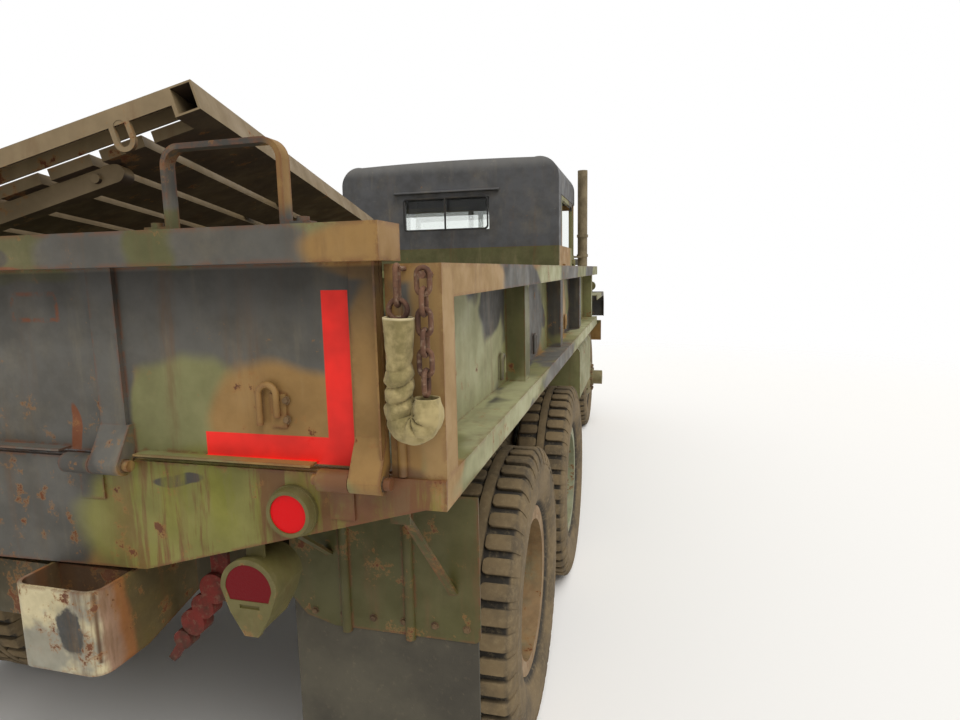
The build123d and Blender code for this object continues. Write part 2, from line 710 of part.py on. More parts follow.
def front_bumper():
    """Channel with swept ends, open to the rear, and a tow eye over each rail."""
    half = BUMPER_HALF_WIDTH
    face = FRONT_TIP
    start = BUMPER_SWEEP_FROM
    wall = BUMPER_WALL
    outer = [(-half, face - BUMPER_SWEEP), (-start, face), (start, face), (half, face - BUMPER_SWEEP),
             (half, face - BUMPER_SWEEP - wall), (start, face - wall), (-start, face - wall),
             (-half, face - BUMPER_SWEEP - wall)]
    top = BUMPER_BOTTOM + BUMPER_HEIGHT
    plate = extrude(Plane.XY.offset(BUMPER_BOTTOM) * make_face(Polyline(*outer, close=True)), BUMPER_HEIGHT)
    tip = face - BUMPER_SWEEP - 2 * wall
    lip = [(-half, face - BUMPER_SWEEP), (-start, face), (start, face), (half, face - BUMPER_SWEEP),
           (half, tip), (start, face - BUMPER_DEPTH), (-start, face - BUMPER_DEPTH), (-half, tip)]
    lips = []
    for z in (BUMPER_BOTTOM, top - wall):
        lips.append(extrude(Plane.XY.offset(z) * make_face(Polyline(*lip, close=True)), wall))
    eyes = []
    for x in (-RAIL_X + TOW_EYE_WALL, RAIL_X):
        y = face - BUMPER_DEPTH / 2
        eye = block(x - TOW_EYE_WALL, x, y - TOW_EYE_RADIUS, y + TOW_EYE_RADIUS, top, top + TOW_EYE_RISE)
        eye = eye + rod_x(x - TOW_EYE_WALL, x, y, top + TOW_EYE_RISE, TOW_EYE_RADIUS)
        eyes.append(eye - rod_x(x - TOW_EYE_WALL, x, y, top + TOW_EYE_RISE, TOW_EYE_BORE / 2))
    rail_room = block(RAIL_X - RAIL_FLANGE, RAIL_X, face - BUMPER_DEPTH, face - wall, RAIL_BOTTOM, RAIL_TOP)
    whole = fused([plate] + lips + eyes)
    return whole - rail_room - mirrored(rail_room)


def bumperettes():
    """U-bent plates whose legs run forward along each rail end and rise underneath."""
    x0, x1 = BUMPERETTE_IN, BUMPERETTE_OUT
    y0, y1 = BUMPERETTE_REAR, BUMPERETTE_FRONT
    z0, z1 = BUMPERETTE_BOTTOM, BUMPERETTE_TOP
    wall = BUMPERETTE_WALL
    outer = block(x0, x1, y0, y1, z0, z1)
    outer = fillet(outer.edges().filter_by(Axis.Z).group_by(Axis.Y)[0], BUMPERETTE_BEND)
    inner = block(x0 + wall, x1 - wall, y0 + wall, y1, z0, z1)
    inner = fillet(inner.edges().filter_by(Axis.Z).group_by(Axis.Y)[0], BUMPERETTE_BEND - wall)
    below = along_x([(BUMPERETTE_RISE_Y, z0), (y1, z0), (y1, z0 + BUMPERETTE_RISE)], x0, x1)
    plate = outer - inner - below
    bridge = block(x0 + wall, x1 - wall, RAIL_REAR - 2 * wall, RAIL_REAR, z0 + BUMPERETTE_RISE, RAIL_TOP)
    return both_sides(plate + bridge - block(0, RAIL_X, RAIL_REAR, y1, z0, z1))


def pintle_hook():
    """Hook, its latch and the shank plate on the rear crossmember."""
    face = RAIL_REAR
    plate = block(-70, 70, face - 20, face, PINTLE_Z - 65, PINTLE_Z + 75)
    neck = rod_y(0, face - 90, face - 20, PINTLE_Z, 38)
    tip = REAR_TIP
    y = face - 90
    hook = along_x([(y, PINTLE_Z + 30), (y, PINTLE_Z - 45), (tip + 70, PINTLE_Z - 70),
                    (tip + 16, PINTLE_Z - 60), (tip, PINTLE_Z - 30), (tip, PINTLE_Z + 32),
                    (tip + 30, PINTLE_Z + 32),
                    (tip + 40, PINTLE_Z - 18), (tip + 66, PINTLE_Z - 34), (tip + 96, PINTLE_Z - 16),
                    (tip + 104, PINTLE_Z + 30)], -24, 24)
    latch = along_x([(y - 4, PINTLE_Z + 30), (tip + 12, PINTLE_Z + 32), (tip + 10, PINTLE_Z + 52),
                     (y - 30, PINTLE_Z + 76), (y + 10, PINTLE_Z + 50), (y + 10, PINTLE_Z + 30)], -20, 20)
    return plate + neck + hook + latch


def pack_of_leaves(y, z, count, half_length, camber):
    """Leaf pack in the YZ plane. camber lifts the ends; the longest leaf is on the eye side."""
    leaves = []
    sign = 1.0 if camber > 0 else -1.0
    for i in range(count):
        reach = half_length * (1.0 - 0.72 * i / count)
        lift = camber * (reach / half_length) ** 2
        base = z - sign * i * LEAF_THICK
        low = [(y - reach, base + lift), (y, base), (y + reach, base + lift)]
        high = [(py, pz + LEAF_THICK) for py, pz in low]
        edge = [ThreePointArc(*low), Line(low[2], high[2]), ThreePointArc(high[2], high[1], high[0]),
                Line(high[0], low[0])]
        leaves.append(extrude(Plane.YZ.offset(-LEAF_WIDTH / 2) * make_face(edge), LEAF_WIDTH))
    return fused(leaves)


def springs(axle_set):
    """Front packs on the axle with their hangers; rear packs on the trunnion, over both axles."""
    half = LEAF_WIDTH / 2
    z = AXLE_Z + AXLE_TUBE_RADIUS + SPRING_RISE
    front = pack_of_leaves(FRONT_AXLE_Y, z, FRONT_LEAVES, FRONT_SPRING_HALF, FRONT_CAMBER)
    front = Pos(FRONT_SPRING_X, 0, 0) * front
    x0, x1 = FRONT_SPRING_X - half, FRONT_SPRING_X + half
    eye_z = z + FRONT_CAMBER
    hangers = []
    for y in (FRONT_AXLE_Y - FRONT_SPRING_HALF, FRONT_AXLE_Y + FRONT_SPRING_HALF):
        hangers.append(block(x0, x1, y - HANGER_HALF, y + HANGER_HALF, eye_z - LEAF_THICK, RAIL_BOTTOM))
    seat = block(x0, x1, FRONT_AXLE_Y - SPRING_SEAT_HALF, FRONT_AXLE_Y + SPRING_SEAT_HALF, AXLE_Z,
                 z - SPRING_RISE + 2 * LEAF_THICK)
    front = fused([front, seat] + hangers) - axle_set
    reach = TANDEM_SPACING / 2 + REAR_SPRING_PAST
    rear = pack_of_leaves(TRUNNION_Y, TRUNNION_Z + 20, REAR_LEAVES, reach, REAR_CAMBER)
    rear = Pos(REAR_SPRING_X, 0, 0) * rear
    x0, x1 = REAR_SPRING_X - half, REAR_SPRING_X + half
    pin = rod_x(RAIL_X, x1 + TRUNNION_PAST, TRUNNION_Y, TRUNNION_Z, TRUNNION_RADIUS)
    saddle = block(x0, x1, TRUNNION_Y - SADDLE_HALF, TRUNNION_Y + SADDLE_HALF,
                   TRUNNION_Z - 70, TRUNNION_Z + 40)
    pads = []
    for y in (REAR_AXLE_Y, MID_AXLE_Y):
        pads.append(block(x0, x1, y - AXLE_PAD_HALF, y + AXLE_PAD_HALF, AXLE_Z, TRUNNION_Z - HANGER_HALF))
    rear = fused([rear, saddle] + pads) - pin - axle_set
    rear = rear - block(RAIL_X - RAIL_WALL, RAIL_X, BED_REAR, FRONT_TIP, TRUNNION_Z - 60, RAIL_TOP)
    return Compound(children=[front, mirrored(front), rear, mirrored(rear)])


def axle(y, end_x, nose_side):
    """Housing with a round differential, its cover and the nose toward the drive shaft."""
    tube = rod_x(-end_x, end_x, y, AXLE_Z, AXLE_TUBE_RADIUS)
    r = DIFF_RADIUS
    bowl = Pos(0, y, AXLE_Z) * Sphere(r) & block(-DIFF_HALF, DIFF_HALF, y - r, y + r, AXLE_Z - r, AXLE_Z + r)
    middle_x = DIFF_HALF - BITE + AXLE_CONE_LENGTH / 2
    arms = []
    for side in (-1, 1):
        cone = Cone(AXLE_CONE_RADIUS, AXLE_TUBE_RADIUS, AXLE_CONE_LENGTH)
        arms.append(Pos(side * middle_x, y, AXLE_Z) * Rot(0, side * 90, 0) * cone)
    middle = y + nose_side * (NOSE_START + NOSE_REACH) / 2
    nose = Rot(-90 * nose_side, 0, 0) * Cone(NOSE_WIDE, NOSE_NARROW, NOSE_REACH - NOSE_START)
    return fused([tube, bowl, Pos(0, middle, AXLE_Z) * nose] + arms)


def axles():
    """Three live axles; the rear pair end in brake plates, the front one in steering balls."""
    result = []
    face = REAR_DRUM_X - MOVING_GAP
    for y in (REAR_AXLE_Y, MID_AXLE_Y):
        plate = rod_x(face - BACKPLATE_WALL, face, y, AXLE_Z, DRUM_RADIUS)
        spindle = rod_x(face, REAR_HUB_END_X - SPINDLE_SHORT, y, AXLE_Z, SPINDLE_RADIUS)
        half = plate + spindle
        result.append(axle(y, face, 1) + half + mirrored(half))
    ball = Pos(KINGPIN_X, FRONT_AXLE_Y, AXLE_Z) * Sphere(BALL_RADIUS)
    result.append(axle(FRONT_AXLE_Y, KINGPIN_X, -1) + ball + mirrored(ball))
    return result


def knuckle():
    """Right steering knuckle: half shell over the ball, spindle, brake plate and tie rod arm."""
    x, y = KINGPIN_X, FRONT_AXLE_Y
    small = BALL_RADIUS + RUNNING_GAP
    big = small + KNUCKLE_WALL
    lip = -12.0
    slant = math.sqrt(0.5)
    rise_big = math.sqrt(big ** 2 - lip ** 2)
    rise_small = math.sqrt(small ** 2 - lip ** 2)
    edge = [
        ThreePointArc((lip, rise_big), (big * slant, big * slant), (big, 0)),
        Line((big, 0), (small, 0)),
        ThreePointArc((small, 0), (small * slant, small * slant), (lip, rise_small)),
        Line((lip, rise_small), (lip, rise_big)),
    ]
    shell = Pos(x, y, AXLE_Z) * revolve(make_face(edge), Axis.X)
    ball = Pos(x, y, AXLE_Z) * Sphere(small)
    reach = BALL_RADIUS + KNUCKLE_WALL
    caps = []
    for side in (-1, 1):
        cap = Pos(x, y, AXLE_Z + side * reach) * Cylinder(KINGPIN_CAP_RADIUS, KINGPIN_CAP_HEIGHT)
        caps.append(cap - ball)
    face = FRONT_DRUM_X - MOVING_GAP
    plate = rod_x(face - BACKPLATE_WALL, face, y, AXLE_Z, DRUM_RADIUS - 4)
    spindle = rod_x(x + small, FRONT_HUB_END_X - SPINDLE_SHORT, y, AXLE_Z, SPINDLE_RADIUS)
    low, high = TIE_ROD_Z - TIE_ARM_LOW, TIE_ROD_Z - TIE_ARM_HIGH
    arm = block(x - TIE_ARM_HALF, x + TIE_ARM_HALF, y - TIE_ARM_LENGTH, y, low, high)
    arm = arm + rod_z(x, y, low, AXLE_Z - reach, KINGPIN_CAP_RADIUS)
    arm = arm + rod_z(x, y - TIE_ARM_LENGTH, low, high, TIE_ARM_HALF + 4)
    return fused([shell, plate, spindle, arm - ball] + caps)


def tie_rod():
    """Track rod above the knuckle arms, with an eye at each end."""
    y = FRONT_AXLE_Y - TIE_ARM_LENGTH
    rod = rod_x(-KINGPIN_X, KINGPIN_X, y, TIE_ROD_Z + 5, TIE_ROD_RADIUS)
    for side in (-1, 1):
        rod = rod + rod_z(side * KINGPIN_X, y, TIE_ROD_Z - 20 + RUNNING_GAP, TIE_ROD_Z + 26, 24)
    return rod


def engine():
    """Plain engine block, and the radiator behind the grille."""
    motor = block(-ENGINE_HALF, ENGINE_HALF, ENGINE_REAR, ENGINE_FRONT, ENGINE_BOTTOM, ENGINE_TOP)
    half = GRILLE_HALF - RADIATOR_MARGIN
    face = GRILLE_Y - RADIATOR_TO_GRILLE
    radiator = block(-half, half, face - RADIATOR_DEPTH, face, RADIATOR_BOTTOM, GRILLE_TOP - RADIATOR_DROP)
    return Compound(children=[motor, radiator])


def driveline(axle_set):
    """Gearbox, transfer case and the drive shafts to the three axles."""
    gearbox_rear = ENGINE_REAR - GEARBOX_LENGTH
    case_rear = CASE_FRONT - CASE_LENGTH
    gearbox = block(-GEARBOX_HALF, GEARBOX_HALF, gearbox_rear, ENGINE_REAR, GEARBOX_BOTTOM, GEARBOX_TOP)
    case = block(-CASE_HALF, CASE_HALF, case_rear, CASE_FRONT, CASE_BOTTOM, CASE_TOP)
    between = rod_y(0, CASE_FRONT, gearbox_rear, INPUT_Z, INPUT_RADIUS)
    mid_nose = (0, MID_AXLE_Y + NOSE_REACH, AXLE_Z)
    rear_nose = (0, REAR_AXLE_Y + NOSE_REACH, AXLE_Z)
    front_nose = (0, FRONT_AXLE_Y - NOSE_REACH, AXLE_Z)
    through = (0, MID_AXLE_Y - DIFF_RADIUS + SHAFT_BITE, AXLE_Z)
    to_mid = rod_between(mid_nose, (0, case_rear, REAR_OUTPUT_Z), SHAFT_RADIUS)
    to_rear = rod_between(rear_nose, through, SHAFT_RADIUS)
    to_front = rod_between((0, CASE_FRONT, FRONT_OUTPUT_Z), front_nose, SHAFT_RADIUS)
    whole = fused([gearbox, case, between, to_mid, to_front])
    return Compound(children=[whole - axle_set, to_rear - axle_set])


# Cargo body

def post_ys():
    return [BED_REAR + POST_FIRST + i * POST_PITCH for i in range(POST_COUNT)]


def cargo_floor():
    """Sheet under the whole body with a lip down each side, and the deck plate between the walls."""
    inner = PANEL_X - SHEET
    half = BED_HALF
    low = SHELF_TOP - SHEET
    outline = [(-half, SHELF_LIP_BOTTOM), (-half, SHELF_TOP), (half, SHELF_TOP), (half, SHELF_LIP_BOTTOM),
               (half - SHEET, SHELF_LIP_BOTTOM), (half - SHEET, low), (-half + SHEET, low),
               (-half + SHEET, SHELF_LIP_BOTTOM)]
    sheet = along_y(outline, BED_REAR, BED_FRONT)
    edge = inner - DECK_GAP
    deck = block(-edge, edge, BED_REAR + GATE_WALL + MOVING_GAP, BED_FRONT - RIB_DEPTH - DECK_GAP,
                 SHELF_TOP, FLOOR_TOP)
    return sheet + deck


def bed_sills():
    """Channel cross sills, tapered to the lips, on two long sills over the frame rails."""
    top = SHELF_TOP - SHEET
    bottom = top - SILL_HEIGHT
    half = BED_HALF - SHEET
    first = BED_REAR + SILL_FIRST
    pitch = (BED_LENGTH - 2 * SILL_FIRST - SILL_FLANGE) / (SILL_COUNT - 1)
    pieces = []
    for i in range(SILL_COUNT):
        y = first + i * pitch
        web = block(-half, half, y, y + SILL_WALL, bottom, top)
        foot = block(-half, half, y, y + SILL_FLANGE, bottom, bottom + SILL_WALL)
        taper = along_y([(BED_HALF, bottom), (BED_HALF, SHELF_LIP_BOTTOM), (PANEL_X - 120, bottom)],
                        y, y + SILL_FLANGE)
        pieces.append((web + foot) - taper - mirrored(taper))
    long_sill = block(RAIL_X - LONG_SILL_WIDTH, RAIL_X, BED_REAR + 20, BED_FRONT, RAIL_TOP, bottom)
    return fused(pieces + [long_sill, mirrored(long_sill)])


def cargo_walls():
    """Side walls with boxed stake posts and top rails, and the front wall."""
    inner = PANEL_X - SHEET
    y0, y1 = BED_REAR, BED_FRONT
    rail_bottom = SIDE_TOP - SIDE_RAIL_HEIGHT
    panel = block(inner, PANEL_X, y0, y1, SHELF_TOP, SIDE_TOP)
    rail = [(PANEL_X, SIDE_TOP - SHEET), (PANEL_X, SIDE_TOP), (BED_HALF, SIDE_TOP), (BED_HALF, rail_bottom),
            (BED_HALF - SHEET, rail_bottom), (BED_HALF - SHEET, SIDE_TOP - SHEET)]
    side = panel + along_y(rail, y0, y1)
    room_x = (PANEL_X + POST_OUT) / 2
    for y in post_ys():
        post = block(PANEL_X, POST_OUT, y, y + POST_WIDTH, SHELF_TOP, SIDE_TOP - SHEET)
        side = side + post
        side = side - block(room_x - STAKE_SIDE_X / 2, room_x + STAKE_SIDE_X / 2,
                            y + (POST_WIDTH - STAKE_SIDE_Y) / 2, y + (POST_WIDTH + STAKE_SIDE_Y) / 2,
                            SHELF_TOP + SHEET, SIDE_TOP)
    corner = block(PANEL_X, BED_HALF, y0, y0 + CORNER_POST_WIDTH, SHELF_TOP, SIDE_TOP - SHEET)
    corner = corner - block(PANEL_X + SHEET, BED_HALF - SHEET, y0 + SHEET, y0 + CORNER_POST_WIDTH,
                            SHELF_TOP + SHEET, SIDE_TOP - SHEET)
    corner = corner + block(BED_HALF - 60, BED_HALF - SHEET, y0 + CORNER_POST_WIDTH - SHEET,
                            y0 + CORNER_POST_WIDTH, SHELF_TOP, SIDE_TOP - SHEET)
    bar = rod_z(GUIDE_X, y0, SHELF_TOP, GUIDE_TOP, GUIDE_RADIUS)
    bar = bar & block(PANEL_X, BED_HALF, y0 - GUIDE_RADIUS, y0 + SHEET, SHELF_TOP, GUIDE_TOP)
    hooks = []
    for along in WALL_HOOK_YS:
        hooks.append(Pos(PANEL_X, y0 + along, WALL_HOOK_Z) * Rot(0, 0, 90) * rope_hook())
    side = fused([side, corner, bar] + hooks)
    wall = block(-inner, inner, y1 - SHEET, y1, SHELF_TOP, SIDE_TOP)
    cap = block(-inner, inner, y1 - CAP_DEPTH, y1, SIDE_TOP - SHEET, SIDE_TOP)
    lip = block(-inner, inner, y1 - CAP_DEPTH, y1 - CAP_DEPTH + SHEET, rail_bottom, SIDE_TOP)
    ribs = []
    for x in RIB_XS:
        ribs.append(block(x - RIB_HALF, x + RIB_HALF, y1 - RIB_DEPTH, y1, SHELF_TOP, SIDE_TOP - SHEET))
    return fused([side, mirrored(side), wall, cap, lip] + ribs)


def chain_link(length, width):
    """Link in the XZ plane about the origin, its long side upright."""
    bar = CHAIN_BAR
    hole = SlotOverall(length - 2 * bar, width - 2 * bar, rotation=90)
    return extrude(Plane.XZ * (SlotOverall(length, width, rotation=90) - hole), bar / 2, both=True)


def gate_chains():
    """Chain of each corner: links down from a stud, and past the sleeve a ring on a long link."""
    y = BED_REAR - CHAIN_OFF
    pitch = LINK_LENGTH - 2 * CHAIN_BAR - LINK_GAP
    pieces = []
    for i in range(LINK_COUNT):
        link = Rot(0, 0, 90 * (i % 2)) * chain_link(LINK_LENGTH, LINK_WIDTH)
        pieces.append(Pos(CHAIN_X, y, CHAIN_TOP_Z - i * pitch) * link)
    stud_z = CHAIN_TOP_Z + LINK_LENGTH / 2 - CHAIN_BAR - 7
    pieces.append(rod_y(CHAIN_X, y - 9, BED_REAR, stud_z, 6.5))
    ring = rod_y(RING_X, y - CHAIN_BAR / 2, y + CHAIN_BAR / 2, RING_Z, RING_RADIUS)
    ring = ring - rod_y(RING_X, y - CHAIN_BAR, y + CHAIN_BAR, RING_Z, RING_RADIUS - CHAIN_BAR)
    low = RING_Z + RING_RADIUS - 2 * CHAIN_BAR - LINK_GAP
    middle = low + LONG_LINK_LENGTH / 2
    link = Pos(RING_X, y, middle) * Rot(0, 0, 90) * chain_link(LONG_LINK_LENGTH, LONG_LINK_WIDTH)
    stud = rod_x(RING_X - 10, RING_X + 10, y, middle + LONG_LINK_LENGTH / 2 - CHAIN_BAR - 2, 1.9)
    pieces += [ring, link]
    foot = block(RING_X + 6, RING_X + 10, y, BED_REAR, middle + 10, middle + 30)
    pieces.append(stud + foot)
    parts = []
    for piece in pieces:
        parts += [piece, mirrored(piece)]
    return Compound(children=parts)


def chain_sleeve():
    """Right sleeve: a wide mouth, a leg down, a tight bend and a short end, open where the chain enters."""
    y = BED_REAR - CHAIN_OFF
    r = SLEEVE_RADIUS
    left = CHAIN_X - 2 * SLEEVE_BEND
    low = Plane(origin=(left, y, SLEEVE_BEND_Z))
    high = Plane(origin=(SLEEVE_TOP_X, y, SLEEVE_TOP_Z))
    leg = loft([low * Circle(r), high * Circle(SLEEVE_MOUTH)])
    bend = Pos(CHAIN_X - SLEEVE_BEND, y, SLEEVE_BEND_Z) * Rot(90, 0, 0) * Torus(SLEEVE_BEND, r)
    bend = bend & block(left - r, CHAIN_X + r, y - r, y + r, SLEEVE_BEND_Z - SLEEVE_BEND - r, SLEEVE_BEND_Z)
    end = rod_z(CHAIN_X, y, SLEEVE_BEND_Z, SLEEVE_END_Z, r)
    mouth = rod_z(SLEEVE_TOP_X - 2, y, SLEEVE_TOP_Z - SLEEVE_RECESS, SLEEVE_TOP_Z, r)
    inlet = rod_z(CHAIN_X, y, SLEEVE_END_Z - SLEEVE_RECESS, SLEEVE_END_Z, r - 4)
    return fused([leg, bend, end]) - mouth - inlet


def hinge_spans():
    """Ends along X of each hinge on the right: the sill's barrel is inboard, the gate's outboard."""
    return [(x - half, x, x + half) for x, half in HINGES]


def rear_sill():
    """Sill plate with its drooping apron, the fixed hinge halves and the hinge pins."""
    y0, y1 = BED_REAR - SILL_PLATE_WALL, BED_REAR
    top = SHELF_TOP - SHEET
    droop = [(0, APRON_CENTRE_Z), (APRON_BEND_X, APRON_BEND_Z), (APRON_TIP_X, SHELF_LIP_BOTTOM),
             (BED_HALF, SHELF_LIP_BOTTOM), (BED_HALF, top), (0, top)]
    half = along_y(droop, y0, y1)
    for left, middle, right in hinge_spans():
        barrel = rod_x(left, middle - RUNNING_GAP, PIN_Y, PIN_Z, BARREL_RADIUS)
        leaf = block(left, middle - RUNNING_GAP, PIN_Y, y0, PIN_Z - BARREL_RADIUS, PIN_Z - BARREL_RADIUS + 12)
        plate = block(left + 4, middle - 8, y0 - 4, y0, HINGE_PLATE_BOTTOM, PIN_Z - BARREL_RADIUS + 4)
        pin = rod_x(left, right + PIN_HEAD, PIN_Y, PIN_Z, PIN_RADIUS)
        head = rod_x(right + 2, right + PIN_HEAD, PIN_Y, PIN_Z, PIN_RADIUS + 3)
        nut = rod_x(left - PIN_HEAD, left, PIN_Y, PIN_Z, PIN_RADIUS + 2)
        half = half + fused([barrel, leaf, plate, pin, head, nut])
    return half + mirrored(half)


def gate_hinge(left, right):
    """Lower end of a strap: it swings out from the gate and curls round the pin."""
    rear = BED_REAR
    reach = BARREL_RADIUS
    curl = rod_x(left, right, PIN_Y, PIN_Z, reach)
    leaf = along_x([(rear, STRAP_BEND_Z), (rear - STRAP_THICK, STRAP_BEND_Z), (PIN_Y - reach, PIN_Z + 4),
                    (PIN_Y - reach, PIN_Z), (PIN_Y + reach, PIN_Z), (PIN_Y + reach, PIN_Z + 4),
                    (rear, GATE_BOTTOM + 8)], left, right)
    return (curl + leaf) - rod_x(left, right, PIN_Y, PIN_Z, PIN_RADIUS + RUNNING_GAP / 2)


def tailgate():
    """Gate plate, top rail, side flanges, straps, hinge halves, boarding steps and rope hooks."""
    rear = BED_REAR
    plate = block(0, GATE_HALF, rear, rear + GATE_WALL, GATE_BOTTOM, GATE_PLATE_TOP)
    lip = block(0, GATE_HALF, rear - GATE_LIP, rear, GATE_BOTTOM + 4, GATE_BOTTOM + 4 + GATE_WALL)
    flange = block(GATE_HALF - GATE_WALL, GATE_HALF, rear - GATE_LIP, rear, GATE_BOTTOM, GATE_PLATE_TOP)
    y0, y1 = rear + GATE_RAIL_REAR, rear + GATE_RAIL_FRONT
    rail = block(0, GATE_RAIL_HALF, y0, y1, GATE_PLATE_TOP, GATE_RAIL_TOP)
    hollow = block(0, GATE_RAIL_HALF - GATE_WALL, y0 + GATE_WALL, y1 - GATE_WALL,
                   GATE_PLATE_TOP + GATE_WALL, GATE_RAIL_TOP - GATE_WALL)
    half = fused([plate, lip, flange, rail - hollow])
    for left, middle, right in hinge_spans():
        room = block(left - PIN_HEAD - MOVING_GAP, right + PIN_HEAD + MOVING_GAP, rear - GATE_LIP - 1, rear,
                     GATE_BOTTOM, PIN_Z + BARREL_RADIUS + HINGE_GAP)
        half = half - room + gate_hinge(middle + RUNNING_GAP, right)
    for x, width in STRAPS:
        half = half + block(x - width / 2, x + width / 2, rear - STRAP_THICK, rear,
                            STRAP_BEND_Z - STRAP_OVERLAP, GATE_PLATE_TOP)
    half = fused([half, step_bar(), Pos(HOOK_X, BED_REAR, HOOK_Z) * rope_hook()])
    return half + mirrored(half)


def step_bar():
    """Flat bar bent to an upside-down U, its feet bent outward and bolted to the top rail."""
    y0, y1 = STEP_REAR, STEP_REAR + STEP_DEPTH
    low = GATE_RAIL_TOP
    bar = block(STEP_IN, STEP_OUT, y0, y1, low, STEP_TOP)
    bar = fillet(bar.edges().filter_by(Axis.Y).group_by(Axis.Z)[-1], STEP_BEND)
    room = block(STEP_IN + STEP_BAR, STEP_OUT - STEP_BAR, y0, y1, low, STEP_TOP - STEP_BAR)
    room = fillet(room.edges().filter_by(Axis.Y).group_by(Axis.Z)[-1], STEP_BEND - STEP_BAR)
    pieces = [bar - room]
    top = low + STEP_FOOT_WALL
    # Leg X and the way its foot points
    for x, way in ((STEP_IN, -1), (STEP_OUT, 1)):
        x0, x1 = sorted((x, x + way * STEP_FOOT))
        pieces.append(block(x0, x1, y0, y1, low, top))
        bolt_x = x + way * STEP_BOLT_REACH
        pieces.append(rod_z(bolt_x, (y0 + y1) / 2, top, top + STEP_FOOT_WALL, STEP_BOLT_RADIUS))
    return fused(pieces)


def rope_hook():
    """Hook that faces -Y from the origin: a plate, and a rod bent over it with a free tip on the left."""
    bend = ROPE_HOOK_BEND
    rod = ROPE_HOOK_ROD
    wall = ROPE_HOOK_WALL
    top = ROPE_HOOK_HEIGHT
    plate = block(-ROPE_HOOK_PLATE / 2, ROPE_HOOK_PLATE / 2, -wall, 0, 0, top)
    y = -wall - rod + 1
    middle = -bend
    arch = Pos(middle, y, top) * Rot(90, 0, 0) * Torus(bend, rod)
    arch = arch & block(middle - bend - rod, middle + bend + rod, y - rod, y + rod, top, top + bend + rod)
    legs = [rod_z(middle - bend, y, 4, top, rod), rod_z(middle + bend, y, top / 3, top, rod)]
    return fused([plate, arch] + legs)


def seat_racks():
    """Troop seat rack stowed in the bed: its rear corner over the gate, two feet ahead.

    Built level, with X across and Y along the slats from the rear right corner, then laid in place.
    """
    wide, deep, wall = RACK_WIDTH, RACK_END_DEPTH, RACK_WALL
    tall = RACK_END_HEIGHT
    pieces = []
    for y in (0.0, RACK_LENGTH / 2 - deep / 2, RACK_LENGTH - deep):
        rail = block(-wide, 0, y, y + deep, -tall, 0)
        pieces.append(rail - block(-wide, 0, y + wall, y + deep - wall, -tall, -wall))
    side = block(-wall * 2, RACK_RAIL_WIDTH, 0, RACK_LENGTH, -tall - RACK_SLAT, 0)
    pieces.append(side - block(0, RACK_RAIL_WIDTH - wall, 0, RACK_LENGTH, -tall - RACK_SLAT + wall, -wall))
    for i in range(RACK_SLATS):
        right = -i * RACK_SLAT_PITCH
        pieces.append(block(right - RACK_SLAT_WIDTH, right, RACK_SLAT_START, RACK_LENGTH - RACK_SLAT_START,
                            -tall - RACK_SLAT, -tall))
    inset = 4 * RACK_LOOP_ROD
    loop = SlotOverall(RACK_LOOP, RACK_LOOP_WIDTH, rotation=90)
    loop = loop - SlotOverall(RACK_LOOP - inset, RACK_LOOP_WIDTH - inset, rotation=90)
    loop = extrude(Plane.XZ * loop, RACK_LOOP_ROD, both=True)
    pieces.append(Pos(-RACK_HOOK_X, wall, -tall - RACK_LOOP / 4) * loop)
    low = -tall - RACK_SLAT
    start = RACK_SLAT_START + RACK_SLAT
    arm = block(-RACK_ARM_LEFT, -RACK_ARM_X, start, start + RACK_ARM, low - RACK_ARM, low + 2)
    tip = rod_y(-RACK_ARM_X, start, start + RACK_ARM, low - RACK_ARM / 2, RACK_ARM / 2)
    bolt = rod_y(-RACK_ARM_X - RACK_ARM, start - RACK_LOOP_ROD * 2, start, low - RACK_ARM / 2, RACK_ARM / 4)
    pieces += [arm, tip, bolt]
    turn = Plane(origin=RACK_PLACE, x_dir=RACK_ACROSS, z_dir=RACK_UP).location
    rack = turn * fused(pieces)
    feet = []
    ahead = RACK_LENGTH - deep / 2
    # How far across from the right edge, how far along, and the height of each foot's sole
    soles = ((RACK_FOOT, ahead, FLOOR_TOP + DECK_TO_RACK),
             (wide - RACK_FOOT, ahead, FLOOR_TOP + DECK_TO_RACK),
             (wide - RACK_FOOT, deep / 2, GATE_RAIL_TOP + GATE_TO_RACK))
    for across, along, sole in soles:
        at = (turn * Pos(-across, along, -wall / 2)).position
        feet.append(block(at.X - STAKE_SIDE_X / 2, at.X + STAKE_SIDE_X / 2, at.Y - STAKE_SIDE_X / 2,
                          at.Y + STAKE_SIDE_X / 2, sole, at.Z - 2 * wall))
    return fused([rack] + feet)


